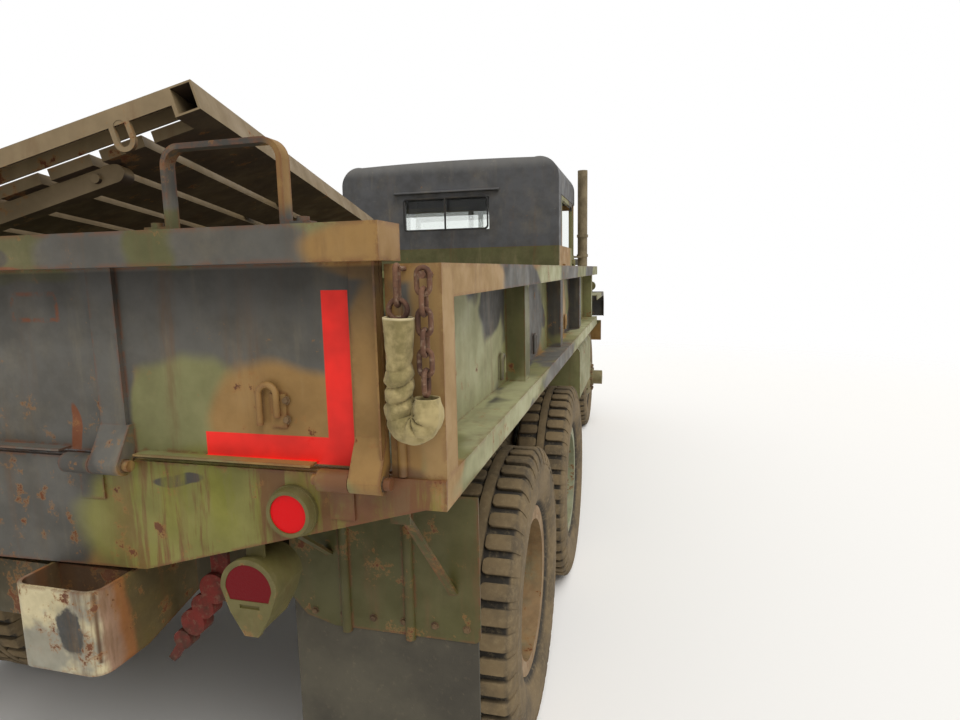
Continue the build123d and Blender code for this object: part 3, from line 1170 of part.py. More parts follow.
def mudguards():
    """Ribbed plates hung from the cross sills behind the rear tyres, each with two slanting stays."""
    y = GUARD_Y
    sill_bottom = SHELF_TOP - SHEET - SILL_HEIGHT
    top = sill_bottom - GUARD_HANG
    low = GUARD_BOTTOM
    outline = [(GUARD_IN, top), (GUARD_IN, low + GUARD_CUT_RISE),
               (GUARD_IN + GUARD_CUT / 3, low + GUARD_CUT_RISE / 3),
               (GUARD_IN + GUARD_CUT, low), (GUARD_OUT, low), (GUARD_OUT, top)]
    plate = along_y(outline, y - GUARD_WALL, y)
    corner = plate.edges().filter_by(Axis.Y).group_by(Axis.X)[-1].group_by(Axis.Z)[0]
    pieces = [fillet(corner, GUARD_CORNER)]
    for x in GUARD_RIB_XS:
        rib = rod_z(x, y - GUARD_WALL, low - GUARD_RIB_DROP, top, GUARD_RIB_RADIUS)
        pieces.append(rib & block(GUARD_IN, GUARD_OUT, y - GUARD_RIB_RADIUS - GUARD_WALL, y, 0, top))
        pieces.append(block(x - STAY_WIDTH, x + STAY_WIDTH, y - GUARD_WALL, y, top - STAY_WIDTH, sill_bottom))
    web = BED_REAR + SILL_FIRST + SILL_WALL
    stay_top = (STAY_TOP_X, web + STAY_WALL, sill_bottom + STAY_TAB)
    pieces.append(bar_between(stay_top, (STAY_LOW_X, y - GUARD_WALL, STAY_LOW_Z), STAY_WIDTH, STAY_WALL))
    pieces.append(block(STAY_TOP_X - STAY_WIDTH, STAY_TOP_X + STAY_WIDTH, web, web + STAY_WALL,
                        sill_bottom + SILL_WALL, sill_bottom + 2 * STAY_TAB))
    brace_top = (BRACE_TOP_X, web + STAY_WIDTH, sill_bottom - STAY_WALL - 2)
    pieces.append(bar_between(brace_top, (BRACE_LOW_X, y - GUARD_WALL, BRACE_LOW_Z), STAY_WIDTH, STAY_WALL))
    pieces.append(block(BRACE_TOP_X - STAY_WIDTH, BRACE_TOP_X + STAY_WIDTH, web, web + 2 * STAY_WIDTH,
                        sill_bottom - STAY_WALL, sill_bottom))
    return both_sides(fused(pieces))


def mud_flaps():
    y = GUARD_Y
    flap = block(GUARD_IN + 3, GUARD_OUT - 7, y, y + FLAP_WALL, FLAP_BOTTOM, GUARD_BOTTOM + 60)
    return both_sides(flap)


def lamp_outline(grow):
    """Round top and a blunt point below, about the tail lamp's centre, larger by grow all round."""
    x, z = TAIL_LAMP_X, TAIL_LAMP_Z
    w = TAIL_LAMP_RADIUS + grow
    hip = 0.72 * w
    low = TAIL_LAMP_BOTTOM - grow
    tip = w / 4
    waist = z - 0.8 * w
    points = [(x + w, z), (x + hip, waist), (x + tip, low), (x - tip, low), (x - hip, waist), (x - w, z)]
    edge = [Line(points[i], points[i + 1]) for i in range(len(points) - 1)]
    return [ThreePointArc((x - w, z), (x, z + w), (x + w, z))] + edge


def lamp_plate(outline, y0, y1):
    plane = Plane(origin=(0, y1, 0), x_dir=(1, 0, 0), z_dir=(0, -1, 0))
    return extrude(plane * make_face(outline), y1 - y0)


def tail_lens(grow, y0, y1):
    """Round-topped lens with a level foot."""
    reach = TAIL_LAMP_RADIUS
    above = block(TAIL_LAMP_X - reach, TAIL_LAMP_X + reach, y0, y1, LENS_BOTTOM - grow, TAIL_LAMP_Z + reach)
    return lamp_plate(lamp_outline(grow - LENS_INSET), y0, y1) & above


def tail_lamp():
    """Body with a raised bezel, the lens's seat and a slot below it, and a bracket to the sill."""
    x = TAIL_LAMP_X
    rear = BED_REAR
    face, back = rear - LAMP_FACE, rear - LAMP_BACK
    body = lamp_plate(lamp_outline(0), back, rear + TAIL_LAMP_DEPTH)
    bezel = lamp_plate(lamp_outline(TAIL_BEZEL), face, rear + 2)
    seat = tail_lens(0, face, back)
    slot = block(x - LAMP_SLOT_HALF, x + LAMP_SLOT_HALF, face, back, LENS_BOTTOM - 16, LENS_BOTTOM - 8)
    high = SHELF_TOP - SHEET - SILL_HEIGHT + 20
    half = LAMP_STRAP_HALF
    wall = LAMP_STRAP_WALL
    strap = block(x - half, x + half, rear + half, rear + half + wall, TAIL_LAMP_Z, high)
    arm = block(x - half, x + half, rear, rear + half + wall, high - wall, high)
    return fused([body, bezel - seat - slot, strap, arm])


def reflector():
    """Dish on the sill with a raised rim; its lens lies in the rim."""
    face = BED_REAR - SILL_PLATE_WALL
    front = face - REFLECTOR_DEPTH
    x, z = REFLECTOR_X, REFLECTOR_Z
    base = rod_y(x, face - REFLECTOR_FOOT, face, z, REFLECTOR_BASE)
    cone = Cone(REFLECTOR_BASE - 2, REFLECTOR_RIM, REFLECTOR_DEPTH - REFLECTOR_FOOT)
    rim_part = Pos(x, (front + face - REFLECTOR_FOOT) / 2, z) * Rot(90, 0, 0) * cone
    seat = rod_y(x, front, front + 2 * LENS_WALL, z, REFLECTOR_RADIUS)
    return base + rim_part - seat


def lamps():
    """Tail lamps, sill reflectors, headlamp shells and the front turn lamps on the fenders."""
    front = FENDER_FRONT
    shell = Pos(HEADLAMP_X, front + 35, HEADLAMP_Z) * Rot(-90, 0, 0) * Cone(45, HEADLAMP_RADIUS, 70)
    bowl = rod_y(HEADLAMP_X, front + 70, front + 90, HEADLAMP_Z, HEADLAMP_RADIUS)
    bowl = bowl - rod_y(HEADLAMP_X, front + 80, front + 90, HEADLAMP_Z, HEADLAMP_RADIUS - 8)
    foot = rod_z(TURN_LAMP_X, TURN_LAMP_Y, FENDER_TOP, FENDER_TOP + 20, TURN_LAMP_STEM)
    turn = rod_y(TURN_LAMP_X, TURN_LAMP_Y - TURN_LAMP_HALF, TURN_LAMP_Y + TURN_LAMP_HALF,
                 FENDER_TOP + TURN_LAMP_STEM + TURN_LAMP_RADIUS - 4, TURN_LAMP_RADIUS)
    parts = []
    for piece in (tail_lamp(), reflector(), bowl + shell, foot + turn):
        parts += [piece, mirrored(piece)]
    return Compound(children=parts)


def red_lenses():
    """Lenses of the tail lamps and the discs of the sill reflectors."""
    face = BED_REAR - SILL_PLATE_WALL - REFLECTOR_DEPTH
    disc = rod_y(REFLECTOR_X, face + LENS_WALL, face + 2 * LENS_WALL, REFLECTOR_Z,
                 REFLECTOR_RADIUS - LENS_PLAY)
    lens = tail_lens(-LENS_PLAY, BED_REAR - LAMP_BACK - LENS_WALL, BED_REAR - LAMP_BACK)
    return Compound(children=[disc, mirrored(disc), lens, mirrored(lens)])


def headlamp_glass():
    front = FENDER_FRONT
    return both_sides(rod_y(HEADLAMP_X, front + 80, front + 85, HEADLAMP_Z, HEADLAMP_RADIUS - 8.3))


def coupling_arm():
    """Rusty hook arm that hangs at the left of the right tail lamp, on a strap from the first sill."""
    rear = BED_REAR
    top = (COUPLING_TOP[0], rear + COUPLING_TOP[1], COUPLING_TOP[2])
    foot = (COUPLING_FOOT[0], rear + COUPLING_FOOT[1], COUPLING_FOOT[2])
    bar = bar_between(top, foot, COUPLING_RADIUS, COUPLING_RADIUS)
    x, y, z = top
    half = COUPLING_STRAP_HALF
    wall = COUPLING_STRAP_WALL / 2
    strap = block(x - half, x + half, y - wall, y + wall, z - half, SHELF_TOP - SHEET - SILL_HEIGHT)
    knobs = []
    for share, size in COUPLING_KNOBS:
        knob_x = x + share * (foot[0] - x)
        knob_z = z + share * (foot[2] - z)
        knobs.append(rod_y(knob_x, y - COUPLING_KNOB_HALF, y + COUPLING_KNOB_HALF, knob_z, size))
    return fused([bar, strap] + knobs)


# Cab

def cab_tub():
    """Floor, rear wall, cowl, firewall, dash and door sills."""
    half = CAB_HALF
    wall = CAB_WALL
    inner = half - wall
    floor_low = CAB_FLOOR - wall
    floor = block(-inner, inner, CAB_REAR + wall, COWL_Y, floor_low, CAB_FLOOR)
    rear = block(-half, half, CAB_REAR, CAB_REAR + wall, floor_low, BELT_Z)
    firewall = block(-inner, inner, COWL_Y - wall, COWL_Y, CAB_FLOOR, COWL_TOP)
    cowl = block(-inner, inner, COWL_Y, COWL_FRONT, COWL_TOP - wall, COWL_TOP)
    dash_half = inner - DASH_INSET
    dash_top = COWL_TOP - DASH_DROP
    dash_front = COWL_Y - wall
    dash = block(-dash_half, dash_half, dash_front - DASH_DEPTH, dash_front, dash_top - DASH_HEIGHT, dash_top)
    side = block(inner, half, CAB_REAR + wall, COWL_Y, floor_low, DOOR_BOTTOM - DOOR_GAP)
    post = block(inner, half, DOOR_FRONT + DOOR_GAP, COWL_FRONT, floor_low, COWL_TOP)
    quarter = block(inner, half, CAB_REAR + wall, DOOR_REAR - DOOR_GAP, floor_low, BELT_Z)
    seat_boxes = []
    for x0, x1 in SEAT_BOXES:
        seat_boxes.append(block(x0, x1, SEAT_REAR, SEAT_REAR + SEAT_DEPTH, CAB_FLOOR, SEAT_BOX_TOP))
    sides = [side, fused([post] + door_hinge_seats()), quarter]
    pieces = [floor, rear, firewall, cowl, dash] + seat_boxes
    for piece in sides:
        pieces += [piece, mirrored(piece)]
    return fused(pieces)


def seat_cushions():
    """Driver's seat and the wider companion seat."""
    back_rear = SEAT_REAR + BACK_TO_BOX
    seat_rear = back_rear + BACK_DEPTH + MOVING_GAP
    low = SEAT_BOX_TOP
    parts = []
    for x0, x1 in SEAT_BOXES:
        left, right = x0 + CUSHION_INSET, x1 - CUSHION_INSET
        seat = block(left, right, seat_rear, seat_rear + CUSHION_DEPTH, low, low + CUSHION_HEIGHT)
        back = block(left, right, back_rear, back_rear + BACK_DEPTH, low, low + BACK_HEIGHT)
        parts += [fillet(seat.edges(), CUSHION_ROUND), fillet(back.edges(), CUSHION_ROUND)]
    return Compound(children=parts)


def steering_wheel():
    """Rim, spokes, hub and column, tilted toward the driver."""
    spokes = []
    for i in range(WHEEL_SPOKES):
        spoke = Box(WHEEL_RADIUS, SPOKE_WIDTH, SPOKE_WALL)
        turn = Rot(0, 0, 90 + i * 360 / WHEEL_SPOKES)
        spokes.append(turn * (Pos(WHEEL_RADIUS / 2, 0, -WHEEL_ROD) * spoke))
    hub = Cylinder(WHEEL_HUB_RADIUS, WHEEL_HUB_HEIGHT)
    column = Pos(0, 0, -COLUMN_LENGTH / 2) * Cylinder(COLUMN_RADIUS, COLUMN_LENGTH)
    wheel = fused([Torus(WHEEL_RADIUS, WHEEL_ROD), hub, column] + spokes)
    return Pos(WHEEL_X, COWL_Y - WHEEL_TO_COWL, WHEEL_Z) * Rot(WHEEL_TILT, 0, 0) * wheel


def hood_section(half, low, high, bend, y):
    plane = Plane(origin=(0, y, 0), x_dir=(1, 0, 0), z_dir=(0, -1, 0))
    k = bend * (1 - math.sqrt(0.5))
    edge = [
        Line((-half, low), (-half, high - bend)),
        ThreePointArc((-half, high - bend), (-half + k, high - k), (-half + bend, high)),
        Line((-half + bend, high), (half - bend, high)),
        ThreePointArc((half - bend, high), (half - k, high - k), (half, high - bend)),
        Line((half, high - bend), (half, low)),
        Line((half, low), (-half, low)),
    ]
    return plane * make_face(edge)


def hood():
    """Alligator hood hinged at the cowl; it tapers in width and height to the front."""
    skins = []
    # Inset of each skin, and how far its foot is below the skirt
    for inset, drop in ((0.0, 0.0), (HOOD_WALL, 1.0)):
        low = HOOD_SKIRT - drop
        bend = HOOD_BEND - inset
        skins.append(loft([
            hood_section(HOOD_REAR_HALF - inset, low, HOOD_REAR_TOP - inset, bend, HOOD_REAR),
            hood_section(HOOD_FRONT_HALF - inset, low, HOOD_FRONT_TOP - inset, bend, HOOD_FRONT)]))
    outer, inner = skins
    reach = HOOD_FRONT - HOOD_REAR
    swing = rod_x(-HOOD_REAR_HALF, HOOD_REAR_HALF, HOOD_REAR, HOOD_PIVOT_Z, reach)
    return (outer - inner) & swing


def fenders():
    """Flat-topped fenders with a rounded drop at the nose, an outer lip and an inner apron."""
    wall = FENDER_WALL
    y0, y1 = FENDER_REAR, FENDER_FRONT
    top = FENDER_TOP
    bend = 150.0

    def outline(inset):
        t = top - inset
        f = y1 - inset
        r = bend - inset
        k = r * (1 - math.sqrt(0.5))
        return [Line((y0, FENDER_NOSE_Z), (y0, t)), Line((y0, t), (f - r, t)),
                ThreePointArc((f - r, t), (f - k, t - k), (f, t - r)),
                Line((f, t - r), (f, FENDER_NOSE_Z)), Line((f, FENDER_NOSE_Z), (y0, FENDER_NOSE_Z))]

    width = FENDER_OUT - FENDER_IN
    solid = extrude(Plane.YZ.offset(FENDER_IN) * make_face(outline(0)), width)
    room = extrude(Plane.YZ.offset(FENDER_IN - 1) * make_face(outline(wall)), width - wall + 1)
    side_cut = extrude(Plane.YZ.offset(FENDER_OUT - wall - 1) * make_face(outline(46)), wall + 2)
    shell = solid - room - side_cut
    apron = block(RAIL_X, FENDER_IN, y0, y1, top - wall, top)
    skirt = block(RAIL_X, RAIL_X + wall, y0, y1, RAIL_TOP, top)
    return both_sides(fused([shell, apron, skirt]))


def grille():
    """Radiator shell with upright bars, cut back inside for the swinging hood."""
    y0, y1 = GRILLE_Y, GRILLE_Y + GRILLE_DEPTH
    half = GRILLE_HALF
    back = y0 - GRILLE_RETURN
    shell = block(-half, half, back, y1, GRILLE_BOTTOM, GRILLE_TOP)
    shell = fillet(shell.edges().filter_by(Axis.Y).group_by(Axis.Z)[-1], 60)
    window = block(-half + 60, half - 60, y0, y1, GRILLE_BOTTOM + 70, GRILLE_TOP - 90)
    room = block(-half + FENDER_WALL, half - FENDER_WALL, back, y0, GRILLE_BOTTOM, GRILLE_TOP - 90)
    swing = rod_x(-half, half, HOOD_REAR, HOOD_PIVOT_Z, HOOD_FRONT - HOOD_REAR + MOVING_GAP)
    above = block(-half, half, back, y0, HOOD_SKIRT - MOVING_GAP, GRILLE_TOP)
    pieces = [shell - window - room - (swing & above)]
    pitch = (2 * half - 120) / (GRILLE_BARS + 1)
    for i in range(GRILLE_BARS):
        x = -half + 60 + (i + 1) * pitch
        pieces.append(block(x - 6, x + 6, y0 + 6, y1, GRILLE_BOTTOM + 60, GRILLE_TOP - 80))
    return fused(pieces)


def door():
    """Right door: lower panel and window frame with a gap all round, a handle and hinge barrels."""
    x0, x1 = CAB_HALF - DOOR_WALL, CAB_HALF
    y0, y1 = DOOR_REAR, DOOR_FRONT
    low = block(x0, x1, y0, y1, DOOR_BOTTOM, BELT_Z)
    upper = block(x0 + 4, x1, y0, y1, BELT_Z, DOOR_HEAD - DOOR_GAP)
    hole = block(x0, x1, y0 + DOOR_POST, y1 - DOOR_POST, BELT_Z, DOOR_HEAD - DOOR_GAP - DOOR_POST)
    grip = y0 + HANDLE_START
    grip_top = BELT_Z - HANDLE_DROP
    handle = block(x1, x1 + HANDLE_REACH, grip, grip + HANDLE_LENGTH, grip_top - HANDLE_HEIGHT, grip_top)
    pieces = [low, upper - hole, handle]
    for z in DOOR_HINGE_ZS:
        barrel = rod_z(DOOR_PIN_X, DOOR_PIN_Y, z + RUNNING_GAP, z + DOOR_HINGE_HALF, DOOR_BARREL_RADIUS)
        leaf = block(x1, DOOR_PIN_X, DOOR_PIN_Y - DOOR_LEAF, DOOR_PIN_Y, z + RUNNING_GAP, z + DOOR_HINGE_HALF)
        bore = rod_z(DOOR_PIN_X, DOOR_PIN_Y, z, z + DOOR_HINGE_HALF, DOOR_PIN_RADIUS + RUNNING_GAP)
        pieces.append(barrel + leaf - bore)
    return fused(pieces)


def door_hinge_seats():
    """Fixed hinge halves with their pins, on the right cowl post."""
    pieces = []
    for z in DOOR_HINGE_ZS:
        barrel = rod_z(DOOR_PIN_X, DOOR_PIN_Y, z - DOOR_HINGE_HALF, z, DOOR_BARREL_RADIUS)
        pin = rod_z(DOOR_PIN_X, DOOR_PIN_Y, z, z + DOOR_HINGE_HALF, DOOR_PIN_RADIUS)
        leaf = block(CAB_HALF - 1, DOOR_PIN_X, DOOR_PIN_Y, DOOR_PIN_Y + DOOR_LEAF, z - DOOR_HINGE_HALF, z)
        pieces += [barrel + leaf, pin]
    return pieces


def hardtop():
    """Roof shell with rounded sides, its rear wall and window opening, and the front header."""
    half = CAB_HALF
    wall = CAB_WALL

    def section(inset, low):
        w = half - inset
        top = ROOF_TOP - inset
        seam = ROOF_SEAM
        r = ROOF_CORNER - inset
        return [Line((-w, low), (-w, seam)),
                ThreePointArc((-w, seam), (-w + 0.2 * r, seam + 0.62 * (top - seam)), (-w + r, top - 12)),
                ThreePointArc((-w + r, top - 12), (0, top), (w - r, top - 12)),
                ThreePointArc((w - r, top - 12), (w - 0.2 * r, seam + 0.62 * (top - seam)), (w, seam)),
                Line((w, seam), (w, low)), Line((w, low), (-w, low))]

    y0, y1 = CAB_REAR, WINDSHIELD_Y + 36
    plane = Plane(origin=(0, y1, 0), x_dir=(1, 0, 0), z_dir=(0, -1, 0))
    solid = extrude(plane * make_face(section(0, BELT_Z)), y1 - y0)
    room = extrude(plane * make_face(section(wall, BELT_Z)), y1 - y0 - wall)
    shell = solid - room
    header = extrude(plane * make_face(section(wall, WINDSHIELD_TOP)), wall)
    shell = shell + header
    shell = shell - block(-REAR_WINDOW_HALF, REAR_WINDOW_HALF, y0, y0 + wall, REAR_WINDOW_BOTTOM,
                          REAR_WINDOW_TOP)
    for side in (-1, 1):
        x0, x1 = sorted((side * (half - 60), side * (half + 1)))
        shell = shell - block(x0, x1, DOOR_REAR - DOOR_GAP, y1 + 1, BELT_Z - 1, DOOR_HEAD)
    z = REAR_WINDOW_TOP + LEDGE_RISE
    out = y0 - LEDGE_REACH
    ledge = along_x([(y0, z + 22), (out, z + 10), (out, z + 4), (y0, z)], -LEDGE_HALF, LEDGE_HALF)
    return shell + ledge


def windshield_panes(y0, y1):
    """Both pane openings, filled from y0 to y1."""
    out = CAB_HALF - MOVING_GAP - WINDSHIELD_EDGE
    pane = block(MULLION_HALF, out, y0, y1, COWL_TOP + WINDSHIELD_SILL, WINDSHIELD_TOP - WINDSHIELD_HEAD)
    return [mirrored(pane), pane]


def windshield_frame():
    half = CAB_HALF - MOVING_GAP
    y0, y1 = WINDSHIELD_Y, WINDSHIELD_Y + WINDSHIELD_DEPTH
    return block(-half, half, y0, y1, COWL_TOP, WINDSHIELD_TOP) - fused(windshield_panes(y0, y1))


def cab_glass():
    """Two windshield panes and two sliding rear panes."""
    y = WINDSHIELD_Y + (WINDSHIELD_DEPTH - GLASS) / 2
    parts = windshield_panes(y, y + GLASS)
    y = CAB_REAR + (CAB_WALL - GLASS) / 2
    for x0, x1 in ((-REAR_WINDOW_HALF, 0), (PANE_GAP, REAR_WINDOW_HALF)):
        parts.append(block(x0, x1, y, y + GLASS, REAR_WINDOW_BOTTOM, REAR_WINDOW_TOP))
    return Compound(children=parts)


def exhaust_stack():
    """Upright stack at the right of the cowl with a clamp pair and a foot bracket to the cowl."""
    pipe = rod_z(STACK_X, STACK_Y, FENDER_TOP, STACK_TOP, STACK_RADIUS)
    pipe = pipe - rod_z(STACK_X, STACK_Y, STACK_TOP - 160, STACK_TOP, STACK_RADIUS - 4)
    clamps = [rod_z(STACK_X, STACK_Y, z, z + 26, STACK_RADIUS + 7) for z in STACK_CLAMP_ZS]
    z = STACK_CLAMP_ZS[0]
    arm = block(CAB_HALF - CAB_WALL, STACK_X, COWL_FRONT, COWL_FRONT + 14, z - 8, z + 10)
    return fused([pipe, arm] + clamps)


def air_cleaner():
    """Canister, neck and cap on the right fender."""
    parts = [rod_z(CLEANER_X, CLEANER_Y, FENDER_TOP + low, FENDER_TOP + top, radius)
             for low, top, radius in CLEANER]
    return fused(parts)


def fuel_tank():
    """Rounded tank on the right, hung from the rail by two brackets."""
    tank = block(TANK_IN, TANK_OUT, TANK_REAR, TANK_FRONT, TANK_BOTTOM, TANK_TOP)
    arms = []
    for y in (TANK_REAR + TANK_ARM_IN, TANK_FRONT - TANK_ARM_IN - TANK_ARM_WIDTH):
        arms.append(block(RAIL_X, TANK_IN, y, y + TANK_ARM_WIDTH, TANK_BOTTOM + TANK_ARM_INSET,
                          TANK_TOP - TANK_ARM_INSET))
    return fused([fillet(tank.edges().filter_by(Axis.Y), TANK_BEND)] + arms)


def step_boxes():
    """Battery box on the right and tool box on the left, each below its door with a step."""
    y0, y1 = STEP_BOX_REAR, STEP_BOX_REAR + STEP_BOX_LENGTH
    case = block(TANK_IN, STEP_BOX_OUT, y0, y1, STEP_BOX_BOTTOM, STEP_BOX_TOP)
    tread = block(TREAD_IN, TREAD_OUT, y0, y1, TREAD_Z, TREAD_Z + TREAD_WALL)
    leg = block(TREAD_IN, TREAD_IN + TREAD_WALL, y0, y1, TREAD_Z, STEP_BOX_BOTTOM + 20)
    arms = []
    for y in (y0 + BOX_ARM_IN, y1 - BOX_ARM_IN - BOX_ARM_WIDTH):
        arms.append(block(RAIL_X, TANK_IN, y, y + BOX_ARM_WIDTH, BOX_ARM_BOTTOM, BOX_ARM_TOP))
    return both_sides(fused([case, tread, leg] + arms))


def air_tanks():
    """Two air reservoirs inboard of the rails."""
    x, z = AIR_TANK_X, AIR_TANK_Z
    y0, y1 = AIR_TANK_REAR, AIR_TANK_REAR + AIR_TANK_LENGTH
    tank = rod_y(x, y0, y1, z, AIR_TANK_RADIUS)
    start = y0 + AIR_HANGER_START
    end = start + AIR_HANGER_WIDTH
    top = z + AIR_TANK_RADIUS
    side = x + AIR_HANGER_HALF
    hanger = block(x - AIR_HANGER_HALF, side, start, end, top - AIR_HANGER_WALL, RAIL_TOP) - tank
    cross = block(side, RAIL_X - RAIL_WALL, start, end, top - AIR_HANGER_WALL, top)
    return both_sides(fused([tank, hanger, cross]))


def spare_wheel():
    """Spare on the left under the front of the bed, in a carrier on the rail."""
    place = Pos(-SPARE_X, SPARE_Y, SPARE_Z)
    plate = -RAIL_X - CARRIER_WALL
    half = CARRIER_HALF
    hanger = block(plate, -RAIL_X, SPARE_Y - half, SPARE_Y + half, SPARE_Z - half, RAIL_TOP - 20)
    face = -SPARE_X - DISC_OFFSET
    stud = rod_x(face - CARRIER_WALL, plate, SPARE_Y, SPARE_Z, SPARE_STUD_RADIUS)
    clamp = rod_x(face - CARRIER_WALL, face, SPARE_Y, SPARE_Z, HUB_BORE_RADIUS + SPARE_CLAMP_PAST)
    return place * tyre(0), fused([place * rim(0, -1), hanger, stud, clamp])


def cab_mirror():
    """Driver's mirror: an arm on the left cowl post and a plain rectangular head."""
    x, y = -MIRROR_X, COWL_Y + 20
    rod = MIRROR_ROD
    arm = rod_x(x, -CAB_HALF, y, MIRROR_ARM_Z, rod)
    upright = rod_z(x, y, MIRROR_ARM_Z - rod, MIRROR_TOP, rod)
    face = y - MIRROR_PAD
    low, high = MIRROR_HEAD_BOTTOM, MIRROR_HEAD_TOP
    margin = MIRROR_PAD_MARGIN
    pad = block(x - margin, x + margin, face, y, low + margin, high - margin)
    head = block(x - MIRROR_HALF_WIDTH, x + MIRROR_HALF_WIDTH, face - MIRROR_HEAD_DEPTH, face, low, high)
    return fused([arm, upright, pad, head])


def build():
    os.makedirs("parts", exist_ok=True)
    axle_list = axles()
    axle_set = fused(axle_list)
    save("axles", Compound(children=axle_list))
    save("frame", frame())
    save("front_bumper", front_bumper())
    save("bumperettes", bumperettes())
    save("pintle_hook", pintle_hook())
    save("springs", springs(axle_set))
    save("engine", engine())
    save("driveline", driveline(axle_set))
    right = knuckle()
    save("knuckle_right", right)
    save("knuckle_left", mirrored(right))
    save("tie_rod", tie_rod())
    tyres, steel = rear_wheel()
    for place, y in (("rear", REAR_AXLE_Y), ("mid", MID_AXLE_Y)):
        at = Pos(0, y, AXLE_Z)
        save("tyres_" + place + "_right", at * tyres)
        save("tyres_" + place + "_left", at * mirrored(tyres))
        save("rims_" + place + "_right", at * steel)
        save("rims_" + place + "_left", at * mirrored(steel))
    rubber, steel = front_wheel()
    at = Pos(0, FRONT_AXLE_Y, AXLE_Z)
    save("tyre_front_right", at * rubber)
    save("tyre_front_left", at * mirrored(rubber))
    save("rim_front_right", at * steel)
    save("rim_front_left", at * mirrored(steel))
    rubber, steel = spare_wheel()
    save("spare_tyre", rubber)
    save("spare_rim", steel)
    save("cargo_floor", cargo_floor())
    save("bed_sills", bed_sills())
    save("cargo_walls", cargo_walls())
    save("gate_chains", gate_chains())
    save("chain_sleeves", both_sides(chain_sleeve()))
    save("seat_racks", seat_racks())
    save("rear_sill", rear_sill())
    save("tailgate", tailgate())
    save("mudguards", mudguards())
    save("mud_flaps", mud_flaps())
    save("lamps", lamps())
    save("red_lenses", red_lenses())
    save("headlamp_glass", headlamp_glass())
    save("coupling_arm", coupling_arm())
    save("cab_tub", cab_tub())
    save("seat_cushions", seat_cushions())
    save("steering_wheel", steering_wheel())
    save("hood", hood())
    save("fenders", fenders())
    save("grille", grille())
    right = door()
    save("door_right", right)
    save("door_left", mirrored(right))
    save("hardtop", hardtop())
    save("windshield_frame", windshield_frame())
    save("cab_glass", cab_glass())
    save("exhaust_stack", exhaust_stack())
    save("air_cleaner", air_cleaner())
    save("fuel_tank", fuel_tank())
    save("step_boxes", step_boxes())
    save("air_tanks", air_tanks())
    save("cab_mirror", cab_mirror())


build()
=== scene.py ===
import bpy
import bmesh
import json
import math
from mathutils import Matrix, Vector, noise


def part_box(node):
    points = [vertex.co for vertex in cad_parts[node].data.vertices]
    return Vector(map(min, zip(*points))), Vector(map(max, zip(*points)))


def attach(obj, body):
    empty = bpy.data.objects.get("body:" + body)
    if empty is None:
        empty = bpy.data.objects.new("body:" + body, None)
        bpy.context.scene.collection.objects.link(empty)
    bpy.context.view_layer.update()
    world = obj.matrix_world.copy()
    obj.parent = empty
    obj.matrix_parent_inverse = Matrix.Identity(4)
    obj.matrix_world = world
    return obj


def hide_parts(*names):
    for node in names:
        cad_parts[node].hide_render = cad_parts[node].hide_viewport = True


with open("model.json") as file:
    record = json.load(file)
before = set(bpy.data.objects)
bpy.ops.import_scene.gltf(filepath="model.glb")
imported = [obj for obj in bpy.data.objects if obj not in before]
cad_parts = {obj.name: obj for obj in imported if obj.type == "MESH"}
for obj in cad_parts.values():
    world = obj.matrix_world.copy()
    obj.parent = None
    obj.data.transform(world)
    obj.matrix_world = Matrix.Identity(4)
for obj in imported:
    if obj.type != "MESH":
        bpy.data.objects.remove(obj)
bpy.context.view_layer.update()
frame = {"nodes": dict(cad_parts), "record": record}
RECORD = frame["record"]
NODES = frame["nodes"]

# Camera, solved from the photograph
CAMERA_PLACE = Vector((1.5395, -4.1002, 1.6543))
CAMERA_YAW = math.radians(14.6144)
CAMERA_PITCH = math.radians(8.1838)
CAMERA_ROLL = math.radians(-1.1755)
CAMERA_LENS = 23.277
SENSOR_WIDTH = 36.0
NEAREST = 0.05
FARTHEST = 60.0


def linked(name, data):
    """New object in the scene."""
    made = bpy.data.objects.new(name, data)
    bpy.context.scene.collection.objects.link(made)
    return made


def camera():
    forward = Vector((-math.sin(CAMERA_YAW) * math.cos(CAMERA_PITCH),
                      math.cos(CAMERA_YAW) * math.cos(CAMERA_PITCH), -math.sin(CAMERA_PITCH)))
    level = Vector((math.cos(CAMERA_YAW), math.sin(CAMERA_YAW), 0.0))
    rise = level.cross(forward)
    right = level * math.cos(CAMERA_ROLL) + rise * math.sin(CAMERA_ROLL)
    up = rise * math.cos(CAMERA_ROLL) - level * math.sin(CAMERA_ROLL)
    data = bpy.data.cameras.new("camera")
    data.sensor_width = SENSOR_WIDTH
    data.lens = CAMERA_LENS
    data.clip_start = NEAREST
    data.clip_end = FARTHEST
    made = linked("camera", data)
    turn = Matrix((right, up, -forward)).transposed()
    made.matrix_world = Matrix.Translation(CAMERA_PLACE) @ turn.to_4x4()
    bpy.context.scene.camera = made


# Node trees

def node(tree, kind, settings=None, inputs=None):
    """Adds a node. settings are its properties; inputs are values or sockets, by name or number."""
    made = tree.nodes.new(kind)
    for key, value in (settings or {}).items():
        setattr(made, key, value)
    for key, value in (inputs or {}).items():
        socket = made.inputs[key]
        if isinstance(value, bpy.types.NodeSocket):
            tree.links.new(value, socket)
        else:
            socket.default_value = value
    return made


def calc(tree, operation, *values, clamp=False):
    settings = {"operation": operation, "use_clamp": clamp}
    return node(tree, "ShaderNodeMath", settings, dict(enumerate(values))).outputs[0]


def times(tree, first, second):
    return calc(tree, "MULTIPLY", first, second)


def vector_calc(tree, operation, *values):
    """Vector that an operation gives, or its number where it gives one."""
    made = node(tree, "ShaderNodeVectorMath", {"operation": operation}, dict(enumerate(values)))
    return made.outputs[1 if operation in ("LENGTH", "DOT_PRODUCT") else 0]


def split(tree, vector):
    return node(tree, "ShaderNodeSeparateXYZ", None, {0: vector}).outputs


def object_place(tree):
    return node(tree, "ShaderNodeTexCoord").outputs["Object"]


